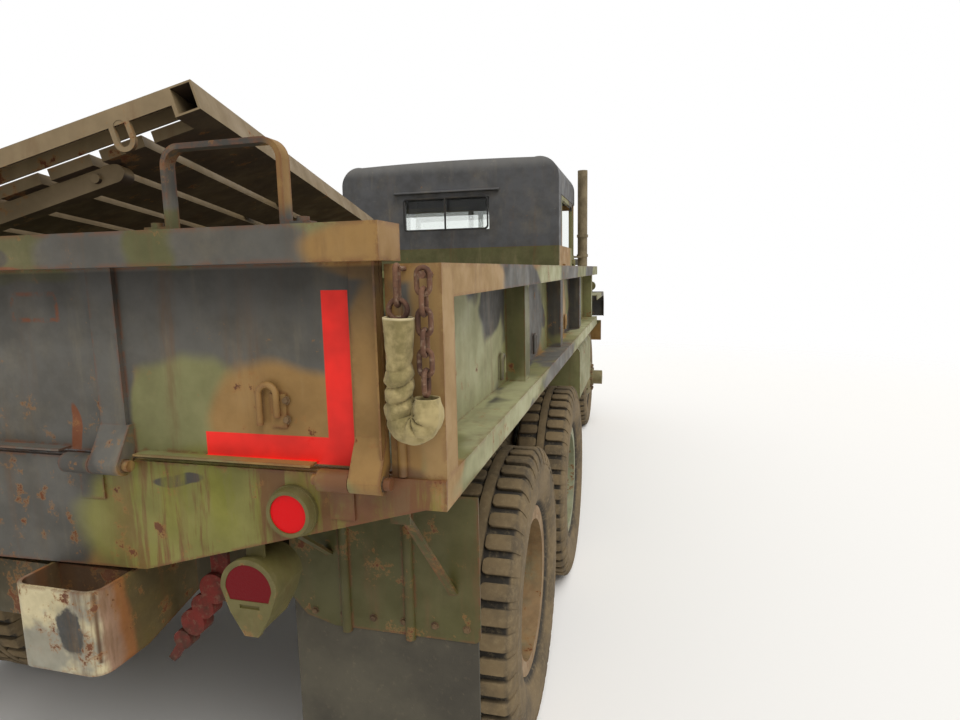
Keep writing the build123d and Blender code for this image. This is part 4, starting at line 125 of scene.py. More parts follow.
def blend_colour(tree, factor, first, second):
    made = node(tree, "ShaderNodeMix", {"data_type": "RGBA"}, {0: factor, 6: first, 7: second})
    return made.outputs[2]


def spread(tree, value, low, high, start=0.0, end=1.0):
    """value from low..high to start..end, smoothly and clamped."""
    made = node(tree, "ShaderNodeMapRange", {"interpolation_type": "SMOOTHSTEP"},
                {0: value, 1: low, 2: high, 3: start, 4: end})
    return made.outputs[0]


def speckle(tree, place, scale, detail=3.0, rough=0.55, stretch=(1.0, 1.0, 1.0), twist=0.0):
    """Noise value from 0 to 1 about a half, with the pattern drawn out along an axis by stretch."""
    moved = node(tree, "ShaderNodeMapping", None, {0: place, 3: stretch}).outputs[0]
    made = node(tree, "ShaderNodeTexNoise", {"noise_dimensions": "3D"},
                {0: moved, "Scale": scale, "Detail": detail, "Roughness": rough, "Distortion": twist})
    return made.outputs[0]


def within(tree, place, centre, half, soft=0.003):
    """1 inside an upright box about centre, 0 outside, with edges soft metres wide."""
    offset = vector_calc(tree, "ABSOLUTE", vector_calc(tree, "SUBTRACT", place, centre))
    result = None
    for away, reach in zip(split(tree, offset), half):
        inside = spread(tree, away, reach - soft, reach + soft, 1.0, 0.0)
        result = inside if result is None else times(tree, result, inside)
    return result


def reach_from(tree, place, centre, half):
    """Distance from centre, as a share of the half sizes."""
    offset = vector_calc(tree, "SUBTRACT", place, centre)
    return vector_calc(tree, "LENGTH", vector_calc(tree, "DIVIDE", offset, half))


def mirrored(tree, place):
    """place with its left half folded onto the right."""
    x, y, z = split(tree, place)
    return node(tree, "ShaderNodeCombineXYZ", None, {0: calc(tree, "ABSOLUTE", x), 1: y, 2: z}).outputs[0]


def srgb(red, green, blue):
    """Linear colour from 0..255 display values."""
    def one(value):
        value = value / 255.0
        return value / 12.92 if value <= 0.04045 else ((value + 0.055) / 1.055) ** 2.4
    return (one(red), one(green), one(blue), 1.0)


# Sprayed colours
GREEN = srgb(120, 118, 74)
PALE_GREEN = srgb(154, 152, 112)
TAN = srgb(147, 112, 60)
PALE_TAN = srgb(156, 124, 76)
BROWN = srgb(108, 80, 48)
GREY = srgb(86, 83, 76)
BLACK = srgb(62, 59, 53)
OLIVE = srgb(88, 86, 48)
YELLOW_GREEN = srgb(122, 118, 56)
CREAM = srgb(202, 188, 148)
CHARCOAL = srgb(80, 80, 81)
TAPE = srgb(246, 32, 14)
DULL_TAPE = srgb(206, 36, 26)
# Rust, dirt and growth, and the painted shadow under the gate's rail
RUST = srgb(116, 62, 28)
DARK_RUST = srgb(68, 42, 28)
RUST_HALO = srgb(142, 98, 48)
EDGE_RUST = srgb(132, 78, 42)
SCAR_RUST = srgb(120, 66, 34)
RUN_BROWN = srgb(98, 68, 36)
DRIP_BROWN = srgb(104, 62, 28)
CORNER_BROWN = srgb(110, 70, 38)
DUST = srgb(164, 146, 108)
SOOT = srgb(38, 34, 26)
RAIL_SHADOW = srgb(34, 32, 28)
MOSS = srgb(120, 118, 34)
RUBBER_DUST = srgb(122, 104, 76)
PALE_RUBBER_DUST = srgb(150, 132, 100)
HEM = srgb(196, 180, 140)

# Sprayed patches on the photographed side: centre, half sizes in metres, and colour, painted in this order
PATCHES = (
    ((0.82, -3.11, 1.62), (0.52, 0.08, 0.17), GREY),
    ((0.70, -3.11, 1.38), (0.15, 0.06, 0.12), GREEN),
    ((0.93, -3.11, 1.37), (0.17, 0.06, 0.115), TAN),
    ((1.10, -3.12, 1.42), (0.06, 0.07, 0.25), TAN),
    ((0.16, -3.11, 1.45), (0.34, 0.08, 0.32), GREY),
    ((0.53, -3.13, 1.50), (0.055, 0.08, 0.24), GREY),
    ((0.20, -3.13, 1.71), (0.40, 0.10, 0.06), OLIVE),
    ((0.56, -3.13, 1.71), (0.14, 0.10, 0.06), GREY),
    ((0.72, -3.13, 1.71), (0.07, 0.10, 0.06), OLIVE),
    ((0.88, -3.13, 1.71), (0.13, 0.10, 0.06), GREY),
    ((1.15, -3.13, 1.71), (0.17, 0.10, 0.06), TAN),
    ((0.30, -3.17, 1.705), (0.06, 0.05, 0.024), BLACK),
    ((0.33, -3.17, 1.678), (0.07, 0.05, 0.010), RUST),
    ((0.407, -3.11, 1.35), (0.014, 0.03, 0.055), RUST),
    ((0.14, -3.12, 1.17), (0.32, 0.04, 0.15), GREY),
    ((0.72, -3.12, 1.17), (0.32, 0.04, 0.15), YELLOW_GREEN),
    ((0.66, -3.12, 1.262), (0.055, 0.04, 0.013), BLACK),
    ((1.12, -3.12, 1.25), (0.14, 0.04, 0.07), BROWN),
    ((1.20, -3.08, 1.48), (0.06, 0.08, 0.30), PALE_TAN),
    ((1.12, -2.62, 1.44), (0.04, 0.42, 0.20), PALE_GREEN),
    ((1.12, -2.36, 1.54), (0.03, 0.17, 0.09), BLACK),
    ((1.16, -2.12, 1.46), (0.07, 0.06, 0.30), OLIVE),
    ((1.12, -1.72, 1.46), (0.04, 0.32, 0.20), GREY),
    ((1.16, -1.21, 1.46), (0.07, 0.06, 0.30), BLACK),
    ((1.12, -0.80, 1.46), (0.04, 0.30, 0.20), PALE_TAN),
    ((1.12, 0.10, 1.46), (0.04, 0.34, 0.20), PALE_GREEN),
    ((1.21, -2.90, 1.64), (0.04, 0.32, 0.06), PALE_TAN),
    ((1.21, -2.42, 1.64), (0.04, 0.20, 0.06), GREY),
    ((1.21, -1.84, 1.64), (0.04, 0.36, 0.06), PALE_GREEN),
    ((1.21, -1.04, 1.64), (0.04, 0.46, 0.06), GREY),
    ((1.20, -2.55, 1.27), (0.08, 0.50, 0.05), PALE_GREEN),
    ((1.20, -1.50, 1.27), (0.08, 0.55, 0.05), GREY),
    ((1.20, -0.30, 1.27), (0.08, 0.55, 0.05), PALE_GREEN),
    ((0.00, 0.82, 1.82), (1.30, 0.06, 0.22), OLIVE),
)
# A patch fades out between these shares of its half sizes, and its edge wanders within this many metres
PATCH_FADE = (0.90, 1.14)
WANDER = 0.12
# Reach of the rust along sheet edges
EDGE_RADIUS = 0.012
# Gate: rusty outline as centre and half sizes, then the heights of the painted shadow under the rail and of
# the rail's foot
SCAR_PLACE = (0.357, -3.1125, 1.600)
SCAR_OUTER = (0.060, 0.02, 0.030)
SCAR_INNER = (0.052, 0.02, 0.022)
RAIL_SHADOW_RISE = (1.50, 1.66)
RAIL_FOOT = (1.664, 1.670)
# Reflective tape on the gate, the same at both corners: centre and half sizes, and how soft its edge is
TAPE_STRIPS = (
    ((1.0215, -3.1145, 1.468), (0.0255, 0.003, 0.158)),
    ((0.892, -3.1145, 1.3355), (0.155, 0.003, 0.0255)),
)
TAPE_SOFT = 0.0008
# Hard top: heights over which it turns pale with a painted reflection of the sky, and over which it is flaked
SKY_REFLECTION_RISE = (2.42, 2.53)
FLAKED_RISE = (2.40, 2.52)
# Sill: distance from the truck's middle where moss and drips begin and where the corner's rust does, and the
# heights over which moss grows
SILL_INNER = (0.44, 0.62)
SILL_CORNER = (0.84, 1.04)
MOSS_RISE = (1.10, 1.24)
# Bumperette: dark oval on its face and the space inside it, as centre and half sizes
OVAL_PLACE = (0.4673, -3.2125, 0.970)
OVAL_HALF = (0.034, 0.02, 0.046)
BUMPERETTE_MIDDLE = (0.430, -3.07, 0.980)
BUMPERETTE_INSIDE = (0.0965, 0.135, 0.0745)
# Bumperette's colours forward of its face: where each fades in along Y, and the colour
BUMPERETTE_BANDS = (
    ((-3.178, -3.165), srgb(148, 116, 92)),
    ((-3.150, -3.128), srgb(140, 90, 46)),
    ((-3.118, -3.100), srgb(88, 74, 38)),
)
# Wheels: radii over which the disc's colour turns to the ring's
RING_FADE = (0.250, 0.262)
# Heights between the tail lamps' lenses and the sill's reflectors
LENS_RISE = (1.12, 1.16)


def camouflage_group():
    """Colour of the sprayed camouflage at a place on the truck."""
    tree = bpy.data.node_groups.new("camouflage", "ShaderNodeTree")
    tree.interface.new_socket("Colour", in_out="OUTPUT", socket_type="NodeSocketColor")
    out = tree.nodes.new("NodeGroupOutput")
    place = object_place(tree)
    swirl = node(tree, "ShaderNodeTexNoise", None, {0: place, "Scale": 3.4, "Detail": 3.0}).outputs[1]
    shift = vector_calc(tree, "SUBTRACT", swirl, (0.5, 0.5, 0.5))
    shift = node(tree, "ShaderNodeVectorMath", {"operation": "SCALE"}, {0: shift, "Scale": WANDER}).outputs[0]
    where = vector_calc(tree, "ADD", place, shift)
    first = speckle(tree, where, 0.95, 1.0, 0.4)
    second = speckle(tree, where, 1.15, 1.0, 0.4, (1.0, 0.8, 1.4), 0.6)
    colour = blend_colour(tree, spread(tree, first, 0.52, 0.55), GREEN, TAN)
    colour = blend_colour(tree, spread(tree, second, 0.56, 0.58), colour, BLACK)
    for centre, half, paint in PATCHES:
        inside = spread(tree, reach_from(tree, where, centre, half), *PATCH_FADE, 1.0, 0.0)
        colour = blend_colour(tree, inside, colour, paint)
    tree.links.new(colour, out.inputs[0])
    return tree


def surface(name, colour=None, roughness=0.6, metal=0.0, specular=0.4):
    """Material with its shader's own sockets set. Returns the material, its tree and its shader."""
    made = bpy.data.materials.new(name)
    made.use_nodes = True
    tree = made.node_tree
    shader = tree.nodes["Principled BSDF"]
    shader.inputs["Roughness"].default_value = roughness
    shader.inputs["Metallic"].default_value = metal
    shader.inputs["Specular IOR Level"].default_value = specular
    if colour is not None:
        shader.inputs["Base Color"].default_value = colour
    return made, tree, shader


def bump(tree, shader, height, strength, distance):
    made = node(tree, "ShaderNodeBump", None, {"Strength": strength, "Distance": distance, "Height": height})
    tree.links.new(made.outputs[0], shader.inputs["Normal"])


def worn_edges(tree, place):
    """1 along the edges of sheet metal where breaks in the dirt let it show, 0 on its faces."""
    soft = node(tree, "ShaderNodeBevel", {"samples": 4}, {"Radius": EDGE_RADIUS}).outputs[0]
    face = node(tree, "ShaderNodeNewGeometry").outputs["Normal"]
    turned = spread(tree, vector_calc(tree, "DOT_PRODUCT", soft, face), 0.86, 0.995, 1.0, 0.0)
    breaks = spread(tree, speckle(tree, place, 24.0, 6.0, 0.75), 0.42, 0.54)
    return times(tree, turned, breaks)


def weathered(tree, shader, colour, rust=0.5, dirt=0.5, scale=1.0, strength=0.15, edges=0.0):
    """Rust spots, streaks, dusting and dents over a colour, which is a value or a socket. Returns the colour.
    """
    place = object_place(tree)
    mottled = speckle(tree, place, 9.0 * scale, 5.0, 0.6)
    colour = blend_colour(tree, spread(tree, mottled, 0.3, 0.75, 0.0, 0.30), colour, SOOT)
    streak = speckle(tree, place, 7.0 * scale, 4.0, 0.6, (1.6, 1.6, 0.13))
    fine = speckle(tree, place, 26.0 * scale, 4.0, 0.65, (1.6, 1.6, 0.2))
    runs = times(tree, spread(tree, streak, 0.50, 0.70), spread(tree, fine, 0.4, 0.7))
    colour = blend_colour(tree, times(tree, runs, 0.60 * rust + 0.15), colour, RUN_BROWN)
    pale = speckle(tree, place, 12.0 * scale, 5.0, 0.6, (1.4, 1.4, 0.18))
    colour = blend_colour(tree, spread(tree, pale, 0.55, 0.75, 0.0, 0.32 * dirt), colour, DUST)
    spots = speckle(tree, place, 16.0 * scale, 8.0, 0.72)
    clusters = speckle(tree, place, 3.1 * scale, 2.0, 0.5)
    spots = calc(tree, "ADD", spots, times(tree, clusters, 0.35))
    threshold = 0.92 - 0.15 * rust
    rusty = spread(tree, spots, threshold, threshold + 0.035)
    halo = spread(tree, spots, threshold - 0.05, threshold)
    colour = blend_colour(tree, times(tree, halo, 0.5), colour, RUST_HALO)
    colour = blend_colour(tree, rusty, colour, blend_colour(tree, mottled, DARK_RUST, RUST))
    dusty = speckle(tree, place, 5.0 * scale, 6.0, 0.7)
    colour = blend_colour(tree, spread(tree, dusty, 0.45, 0.8, 0.0, 0.40 * dirt), colour, DUST)
    if edges:
        rim = times(tree, worn_edges(tree, place), edges)
        colour = blend_colour(tree, rim, colour, blend_colour(tree, mottled, DARK_RUST, EDGE_RUST))
    tree.links.new(colour, shader.inputs["Base Color"])
    rough = spread(tree, mottled, 0.3, 0.7, 0.50, 0.76)
    rough = calc(tree, "ADD", rough, times(tree, rusty, 0.2), clamp=True)
    tree.links.new(rough, shader.inputs["Roughness"])
    dents = speckle(tree, place, 2.6 * scale, 2.0, 0.5)
    height = calc(tree, "ADD", times(tree, dents, 3.0), times(tree, mottled, 0.12))
    height = calc(tree, "ADD", height, times(tree, rusty, 0.12))
    bump(tree, shader, height, strength, 0.01)
    return colour


def camouflage_colour(tree):
    group = tree.nodes.new("ShaderNodeGroup")
    group.node_tree = CAMOUFLAGE
    return group.outputs[0]


def camouflage_paint(name):
    made, tree, shader = surface(name)
    weathered(tree, shader, camouflage_colour(tree), 0.55, 0.5, edges=0.6)
    return made


def gate_paint(name):
    """Camouflage with a rusty outline, a painted shadow under the rail, and the red tape over it, scuffed in
    places.
    """
    made, tree, shader = surface(name)
    colour = weathered(tree, shader, camouflage_colour(tree), 0.6, 0.4, edges=0.8)
    place = object_place(tree)
    outer = within(tree, place, SCAR_PLACE, SCAR_OUTER)
    inner = within(tree, place, SCAR_PLACE, SCAR_INNER)
    breaks = spread(tree, speckle(tree, place, 30.0, 6.0, 0.75), 0.44, 0.58)
    scar = times(tree, calc(tree, "SUBTRACT", outer, inner, clamp=True), breaks)
    colour = blend_colour(tree, scar, colour, SCAR_RUST)
    height = split(tree, place)[2]
    # Painted shadow under the top rail: darker up toward the rail, ending at the rail's foot
    grime_and_shade = spread(tree, height, *RAIL_SHADOW_RISE, 0.0, 0.6)
    grime_and_shade = times(tree, grime_and_shade, spread(tree, height, *RAIL_FOOT, 1.0, 0.0))
    colour = blend_colour(tree, grime_and_shade, colour, RAIL_SHADOW)
    strips = [within(tree, mirrored(tree, place), centre, half, TAPE_SOFT) for centre, half in TAPE_STRIPS]
    scuffs = spread(tree, speckle(tree, place, 42.0, 6.0, 0.7), 0.72, 0.78, 1.0, 0.0)
    tape = times(tree, calc(tree, "MAXIMUM", *strips), scuffs)
    cells = spread(tree, speckle(tree, place, 9.0, 3.0, 0.5), 0.3, 0.7)
    colour = blend_colour(tree, tape, colour, blend_colour(tree, cells, TAPE, DULL_TAPE))
    tree.links.new(colour, shader.inputs["Base Color"])
    return made


def plain_paint(name, colour, rust=0.5, dirt=0.5, scale=1.0, strength=0.15, edges=0.0):
    made, tree, shader = surface(name)
    weathered(tree, shader, colour, rust, dirt, scale, strength, edges)
    return made


def top_paint(name):
    """Dull charcoal, paler toward the top as a painted reflection of the sky, with pale flakes and scratches
    there.
    """
    made, tree, shader = surface(name)
    colour = weathered(tree, shader, CHARCOAL, 0.15, 0.35, 1.0, 0.1)
    place = object_place(tree)
    height = split(tree, place)[2]
    # Painted reflection of the sky: paler toward the rounded top
    colour = blend_colour(tree, spread(tree, height, *SKY_REFLECTION_RISE, 0.0, 0.55), colour, srgb(148, 146, 142))
    flakes = spread(tree, speckle(tree, place, 22.0, 7.0, 0.78, (0.5, 1.0, 2.6)), 0.63, 0.66)
    flakes = times(tree, flakes, spread(tree, height, *FLAKED_RISE, 0.15, 1.0))
    tree.links.new(blend_colour(tree, flakes, colour, srgb(170, 160, 146)), shader.inputs["Base Color"])
    return made


def rack_paint(name):
    """Tan-brown above, and dark brown on the faces that turn down as painted shade; rust and dust over all.
    """
    made, tree, shader = surface(name)
    up = split(tree, node(tree, "ShaderNodeNewGeometry").outputs["Normal"])[2]
    # Painted shade: dark brown where the face turns down, tan-brown where it turns up
    colour = blend_colour(tree, spread(tree, up, -0.35, 0.15), srgb(56, 40, 30), srgb(136, 116, 84))
    weathered(tree, shader, colour, 0.6, 0.45)
    return made


def sill_paint(name):
    """Camouflage with moss and rust run down from the hinges, rusty toward the corner."""
    made, tree, shader = surface(name)
    place = object_place(tree)
    across, _, height = split(tree, mirrored(tree, place))
    inner = spread(tree, across, *SILL_INNER)
    runs = spread(tree, speckle(tree, place, 10.0, 5.0, 0.65, (1.8, 1.8, 0.3)), 0.44, 0.62)
    moss = times(tree, runs, spread(tree, height, *MOSS_RISE))
    moss = times(tree, times(tree, moss, inner), 0.85)
    colour = blend_colour(tree, moss, camouflage_colour(tree), MOSS)
    drips = spread(tree, speckle(tree, place, 15.0, 5.0, 0.7, (1.6, 1.6, 0.14), 0.2), 0.48, 0.60)
    drips = times(tree, drips, times(tree, inner, 0.85))
    colour = blend_colour(tree, drips, colour, DRIP_BROWN)
    patches = spread(tree, speckle(tree, place, 7.0, 6.0, 0.7), 0.36, 0.56, 0.25, 1.0)
    brown = times(tree, patches, spread(tree, across, *SILL_CORNER))
    colour = blend_colour(tree, brown, colour, CORNER_BROWN)
    weathered(tree, shader, colour, 0.7, 0.3, edges=1.0)
    return made


def bumperette_paint(name):
    """Cream with a dark oval at the rear, orange rust and olive along the sides, brown inside."""
    made, tree, shader = surface(name)
    place = object_place(tree)
    folded = mirrored(tree, place)
    uneven = speckle(tree, place, 8.0, 4.0, 0.6)
    forward = calc(tree, "ADD", split(tree, folded)[1], times(tree, uneven, 0.05))
    colour = blend_colour(tree, spread(tree, uneven, 0.42, 0.60, 0.0, 0.8), CREAM, srgb(122, 122, 114))
    for fade, paint in BUMPERETTE_BANDS:
        colour = blend_colour(tree, spread(tree, forward, *fade), colour, paint)
    ragged = times(tree, speckle(tree, place, 26.0, 4.0, 0.6), 1.1)
    reach = calc(tree, "ADD", reach_from(tree, folded, OVAL_PLACE, OVAL_HALF), ragged)
    colour = blend_colour(tree, spread(tree, reach, 1.40, 1.66, 1.0, 0.0), colour, srgb(56, 56, 54))
    inside = within(tree, folded, BUMPERETTE_MIDDLE, BUMPERETTE_INSIDE, 0.002)
    colour = blend_colour(tree, inside, colour, srgb(84, 60, 38))
    weathered(tree, shader, colour, 0.95, 0.3, 1.8, edges=0.7)
    return made


def wheel_paint(name, disc, ring, axle_y, axle_z):
    """Paint with a ring of another colour toward the rim's edge."""
    made, tree, shader = surface(name)
    place = object_place(tree)
    _, y, z = split(tree, place)
    offset = {1: calc(tree, "SUBTRACT", y, axle_y), 2: calc(tree, "SUBTRACT", z, axle_z)}
    reach = vector_calc(tree, "LENGTH", node(tree, "ShaderNodeCombineXYZ", None, offset).outputs[0])
    uneven = speckle(tree, place, 12.0, 4.0, 0.6)
    reach = calc(tree, "ADD", reach, times(tree, uneven, 0.03))
    weathered(tree, shader, blend_colour(tree, spread(tree, reach, *RING_FADE), disc, ring), 0.9, 0.7, 2.0)
    return made


def tread_rubber(name):
    """Dusty tan on the bars and side walls, and dark in the grooves as painted shade, by the mesh's own wear
    value.
    """
    made, tree, shader = surface(name, None, 0.88, 0.0, 0.2)
    place = object_place(tree)
    wear = node(tree, "ShaderNodeAttribute", {"attribute_name": "wear"}).outputs["Fac"]
    patches = speckle(tree, place, 5.0, 6.0, 0.65)
    fine = speckle(tree, place, 55.0, 5.0, 0.7)
    # The wear value is low in the grooves, so they stay dark as painted shade; dust covers the bars and side
    # walls
    dusty = times(tree, wear, spread(tree, patches, 0.30, 0.62, 0.30, 1.0))
    colour = blend_colour(tree, dusty, srgb(58, 54, 48), RUBBER_DUST)
    colour = blend_colour(tree, spread(tree, fine, 0.46, 0.8, 0.0, 0.5), colour, PALE_RUBBER_DUST)
    tree.links.new(colour, shader.inputs["Base Color"])
    bump(tree, shader, calc(tree, "ADD", fine, times(tree, patches, 2.0)), 0.3, 0.004)
    return made


def dusty_rubber(name, dark, pale):
    made, tree, shader = surface(name, None, 0.86, 0.0, 0.25)
    place = object_place(tree)
    patches = speckle(tree, place, 3.5, 5.0, 0.6)
    fine = speckle(tree, place, 60.0, 5.0, 0.7)
    colour = blend_colour(tree, spread(tree, patches, 0.3, 0.7), dark, pale)
    colour = blend_colour(tree, spread(tree, fine, 0.55, 0.85, 0.0, 0.4), colour, srgb(136, 122, 96))
    tree.links.new(colour, shader.inputs["Base Color"])
    bump(tree, shader, calc(tree, "ADD", fine, times(tree, patches, 2.0)), 0.25, 0.004)
    return made


def clear_glass(name):
    made, tree, shader = surface(name, srgb(225, 235, 228), 0.04)
    shader.inputs["Transmission Weight"].default_value = 1.0
    shader.inputs["IOR"].default_value = 1.45
    shader.inputs["Alpha"].default_value = 0.35
    smear = speckle(tree, object_place(tree), 4.0, 5.0, 0.6)
    tree.links.new(spread(tree, smear, 0.4, 0.8, 0.0, 0.05), shader.inputs["Roughness"])
    return made


def red_lens(name):
    """Red plastic, bright at the sill's reflectors and crimson at the lamps, with fine prisms."""
    made, tree, shader = surface(name, None, 0.35, 0.0, 0.15)
    place = object_place(tree)
    grime_and_shade = speckle(tree, place, 30.0, 5.0, 0.65)
    rise = spread(tree, split(tree, place)[2], *LENS_RISE)
    colour = blend_colour(tree, rise, srgb(100, 0, 8), srgb(208, 8, 14))
    colour = blend_colour(tree, spread(tree, grime_and_shade, 0.58, 0.8, 0.0, 0.35), colour, srgb(70, 34, 26))
    tree.links.new(colour, shader.inputs["Base Color"])
    prisms = node(tree, "ShaderNodeTexVoronoi", None, {0: place, "Scale": 260.0}).outputs[0]
    bump(tree, shader, prisms, 0.3, 0.001)
    return made


def bare_rust(name, first=RUST, second=DARK_RUST, highlight=srgb(128, 104, 84)):
    made, tree, shader = surface(name, None, 0.8, 0.3)
    place = object_place(tree)
    coarse = speckle(tree, place, 14.0, 6.0, 0.7)
    fine = speckle(tree, place, 90.0, 5.0, 0.7)
    colour = blend_colour(tree, spread(tree, coarse, 0.35, 0.65), first, second)
    colour = blend_colour(tree, spread(tree, fine, 0.5, 0.75, 0.0, 0.5), colour, highlight)
    tree.links.new(colour, shader.inputs["Base Color"])
    bump(tree, shader, calc(tree, "ADD", coarse, times(tree, fine, 0.5)), 0.4, 0.003)
    return made


def canvas(name, colour):
    """Woven cotton, stained, with a pale hem where the mesh's wear value says so."""
    made, tree, shader = surface(name, None, 0.92, 0.0, 0.2)
    shader.inputs["Sheen Weight"].default_value = 0.1
    place = object_place(tree)
    stains = speckle(tree, place, 22.0, 6.0, 0.65)
    shade = (colour[0] * 0.45, colour[1] * 0.46, colour[2] * 0.38, 1.0)
    tint = blend_colour(tree, spread(tree, stains, 0.40, 0.64, 0.0, 0.85), colour, shade)
    hem = node(tree, "ShaderNodeAttribute", {"attribute_name": "wear"}).outputs["Fac"]
    tree.links.new(blend_colour(tree, hem, tint, HEM), shader.inputs["Base Color"])
    threads = []
    for way, scale in (("Z", 260.0), ("DIAGONAL", 220.0)):
        wave = node(tree, "ShaderNodeTexWave", {"bands_direction": way}, {0: place, "Scale": scale})
        threads.append(wave.outputs[1])
    bump(tree, shader, calc(tree, "ADD", *threads), 0.25, 0.001)
    return made


CAMOUFLAGE = camouflage_group()
CAMO = camouflage_paint("camouflage")
RUBBER = tread_rubber("tyre_rubber")
NUT_STEEL = bare_rust("nut_steel", srgb(120, 96, 66), srgb(78, 60, 42))
CHAIN_STEEL = bare_rust("chain_steel", srgb(118, 84, 62), srgb(74, 50, 40), srgb(186, 168, 142))
SLEEVE = canvas("sleeve_canvas", srgb(168, 151, 106))
SEAT = canvas("seat_canvas", srgb(86, 88, 62))

# Material of each slot
FINISH = {
    "camouflage_paint": CAMO,
    "chassis_paint": plain_paint("chassis_paint", srgb(70, 62, 42), 0.8, 0.6),
    "dark_paint": top_paint("dark_paint"),
    "engine_paint": plain_paint("engine_paint", srgb(70, 74, 60), 0.5, 0.4),
    "tyre_rubber": RUBBER,
    "flap_rubber": dusty_rubber("flap_rubber", srgb(66, 62, 54), srgb(88, 83, 70)),
    "glass": clear_glass("glass"),
    "red_lens": red_lens("red_lens"),
    "rusty_steel": bare_rust("rusty_steel"),
    "seat_canvas": SEAT,
    "canvas": SLEEVE,
    "black_plastic": plain_paint("black_plastic", srgb(30, 30, 30), 0.0, 0.3),
}
# Nodes whose paint differs from that of their slot
OWN_PAINT = {
    "tailgate": gate_paint("gate_camouflage"),
    "seat_racks": rack_paint("rack_paint"),
    "mudguards": plain_paint("guard_paint", srgb(76, 72, 30), 0.9, 0.2, edges=0.8),
    "rear_sill": sill_paint("sill_camouflage"),
    "bumperettes": bumperette_paint("cream_paint"),
    "coupling_arm": bare_rust("red_over_rust", srgb(118, 42, 34), srgb(72, 46, 34)),
    "exhaust_stack": bare_rust("dull_pipe", srgb(134, 120, 92), srgb(104, 92, 68)),
    "lamps": plain_paint("lamp_paint", srgb(98, 90, 46), 0.4, 0.4, 2.0),
}
# Wheels: colour of the disc and of the ring toward the rim's edge
RUSTY_WHEEL = (srgb(118, 112, 84), srgb(136, 108, 72))
PALE_WHEEL = (srgb(136, 134, 100), srgb(132, 136, 108))
OLIVE_WHEEL = (srgb(120, 112, 76), srgb(134, 116, 80))
WHEEL_COLOURS = {
    "rims_rear_right": RUSTY_WHEEL, "rims_mid_right": PALE_WHEEL, "rim_front_right": OLIVE_WHEEL,
    "rims_rear_left": OLIVE_WHEEL, "rims_mid_left": RUSTY_WHEEL, "rim_front_left": PALE_WHEEL,
    "spare_rim": OLIVE_WHEEL,
}
for rim, (disc_colour, ring_colour) in WHEEL_COLOURS.items():
    axle = sum(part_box(rim), Vector()) / 2
    OWN_PAINT[rim] = wheel_paint(rim + "_paint", disc_colour, ring_colour, axle.y, axle.z)
# Nodes with crisp sheet edges that catch the light
BEVELLED = ("tailgate", "cargo_walls", "cargo_floor", "rear_sill", "bumperettes", "front_bumper", "cab_tub",
            "door_left", "door_right", "fenders", "hood", "step_boxes", "seat_racks")
BEVEL_WIDTH = 0.0022
BEVEL_ANGLE = math.radians(40)


def dress_nodes():
    for part in RECORD["subparts"]:
        name = part["node"]
        shape = NODES[name]
        shape.data.materials.clear()
        shape.data.materials.append(OWN_PAINT.get(name, FINISH.get(part["material_slot"])))
        if name in BEVELLED:
            edge = shape.modifiers.new("edge", "BEVEL")
            edge.width = BEVEL_WIDTH
            edge.segments = 2
            edge.limit_method = "ANGLE"
            edge.angle_limit = BEVEL_ANGLE


# Meshes

# Edges that bend by more than this stay sharp on a smooth piece
SHARP_ANGLE = math.radians(38)
# Points of a CAD node closer than this are one
SAME_PLACE = 1e-5


class Form:
    """Vertices and faces of one piece, gathered shape by shape."""

    def __init__(self):
        self.points = []
        self.faces = []

    def add(self, points, faces):
        start = len(self.points)
        self.points += [tuple(point) for point in points]
        self.faces += [tuple(start + i for i in face) for face in faces]

    def rings(self, rings, closed, caps=True):
        """Skin over rings of equal count; closed joins the last ring to the first."""
        count = len(rings[0])
        faces = []
        last = len(rings) if closed else len(rings) - 1
        for i in range(last):
            j = (i + 1) % len(rings)
            for k in range(count):
                m = (k + 1) % count
                faces.append((i * count + k, i * count + m, j * count + m, j * count + k))
        if caps and not closed:
            faces.append(tuple(reversed(range(count))))
            faces.append(tuple((len(rings) - 1) * count + k for k in range(count)))
        self.add([point for ring in rings for point in ring], faces)

    def tube(self, line, normal, radius, sides=10, closed=True, caps=True):
        """Bar along a line in the plane across normal; radius is a number or a call of (share, angle)."""
        rings = []
        count = len(line)
        for i, centre in enumerate(line):
            after = line[(i + 1) % count] if closed or i + 1 < count else line[i]
            before = line[i - 1] if closed or i > 0 else line[0]
            across = (after - before).normalized().cross(normal).normalized()
            ring = []
            for k in range(sides):
                angle = 2 * math.pi * k / sides
                size = radius(i / (count - 1), angle) if callable(radius) else radius
                ring.append(centre + size * (math.cos(angle) * normal + math.sin(angle) * across))
            rings.append(ring)
        self.rings(rings, closed, caps)

    def bolt(self, centre, axis, radius, height, sides=6):
        """Bolt head with a chamfered top on a thin washer."""
        axis = Vector(axis).normalized()
        side = axis.orthogonal().normalized()
        other = axis.cross(side)
        rings = []
        # Height and radius as shares of the head's
        for up, wide in ((0.0, 1.45), (0.15, 1.45), (0.15, 1.0), (0.85, 1.0), (1.0, 0.82)):
            rings.append([Vector(centre) + axis * (up * height) + radius * wide * (
                math.cos(2 * math.pi * k / sides) * side + math.sin(2 * math.pi * k / sides) * other)
                for k in range(sides)])
        self.rings(rings, False)

    def place(self, name, body, paint, slot, smooth=False):
        mesh = bpy.data.meshes.new(name)
        mesh.from_pydata(self.points, [], self.faces)
        mesh.validate()
        tidy = bmesh.new()
        tidy.from_mesh(mesh)
        bmesh.ops.recalc_face_normals(tidy, faces=tidy.faces)
        tidy.to_mesh(mesh)
        tidy.free()
        mesh.materials.append(paint)
        if smooth:
            mesh.shade_smooth()
            mesh.set_sharp_from_angle(angle=SHARP_ANGLE)
        made = linked(name, mesh)
        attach(made, body)
        return made


def set_wear(piece, call):
    """Writes a value from 0 to 1 to each vertex, for its material."""
    values = piece.data.attributes.new("wear", "FLOAT", "POINT").data
    for vert, value in zip(piece.data.vertices, values):
        value.value = min(1.0, max(0.0, call(vert)))


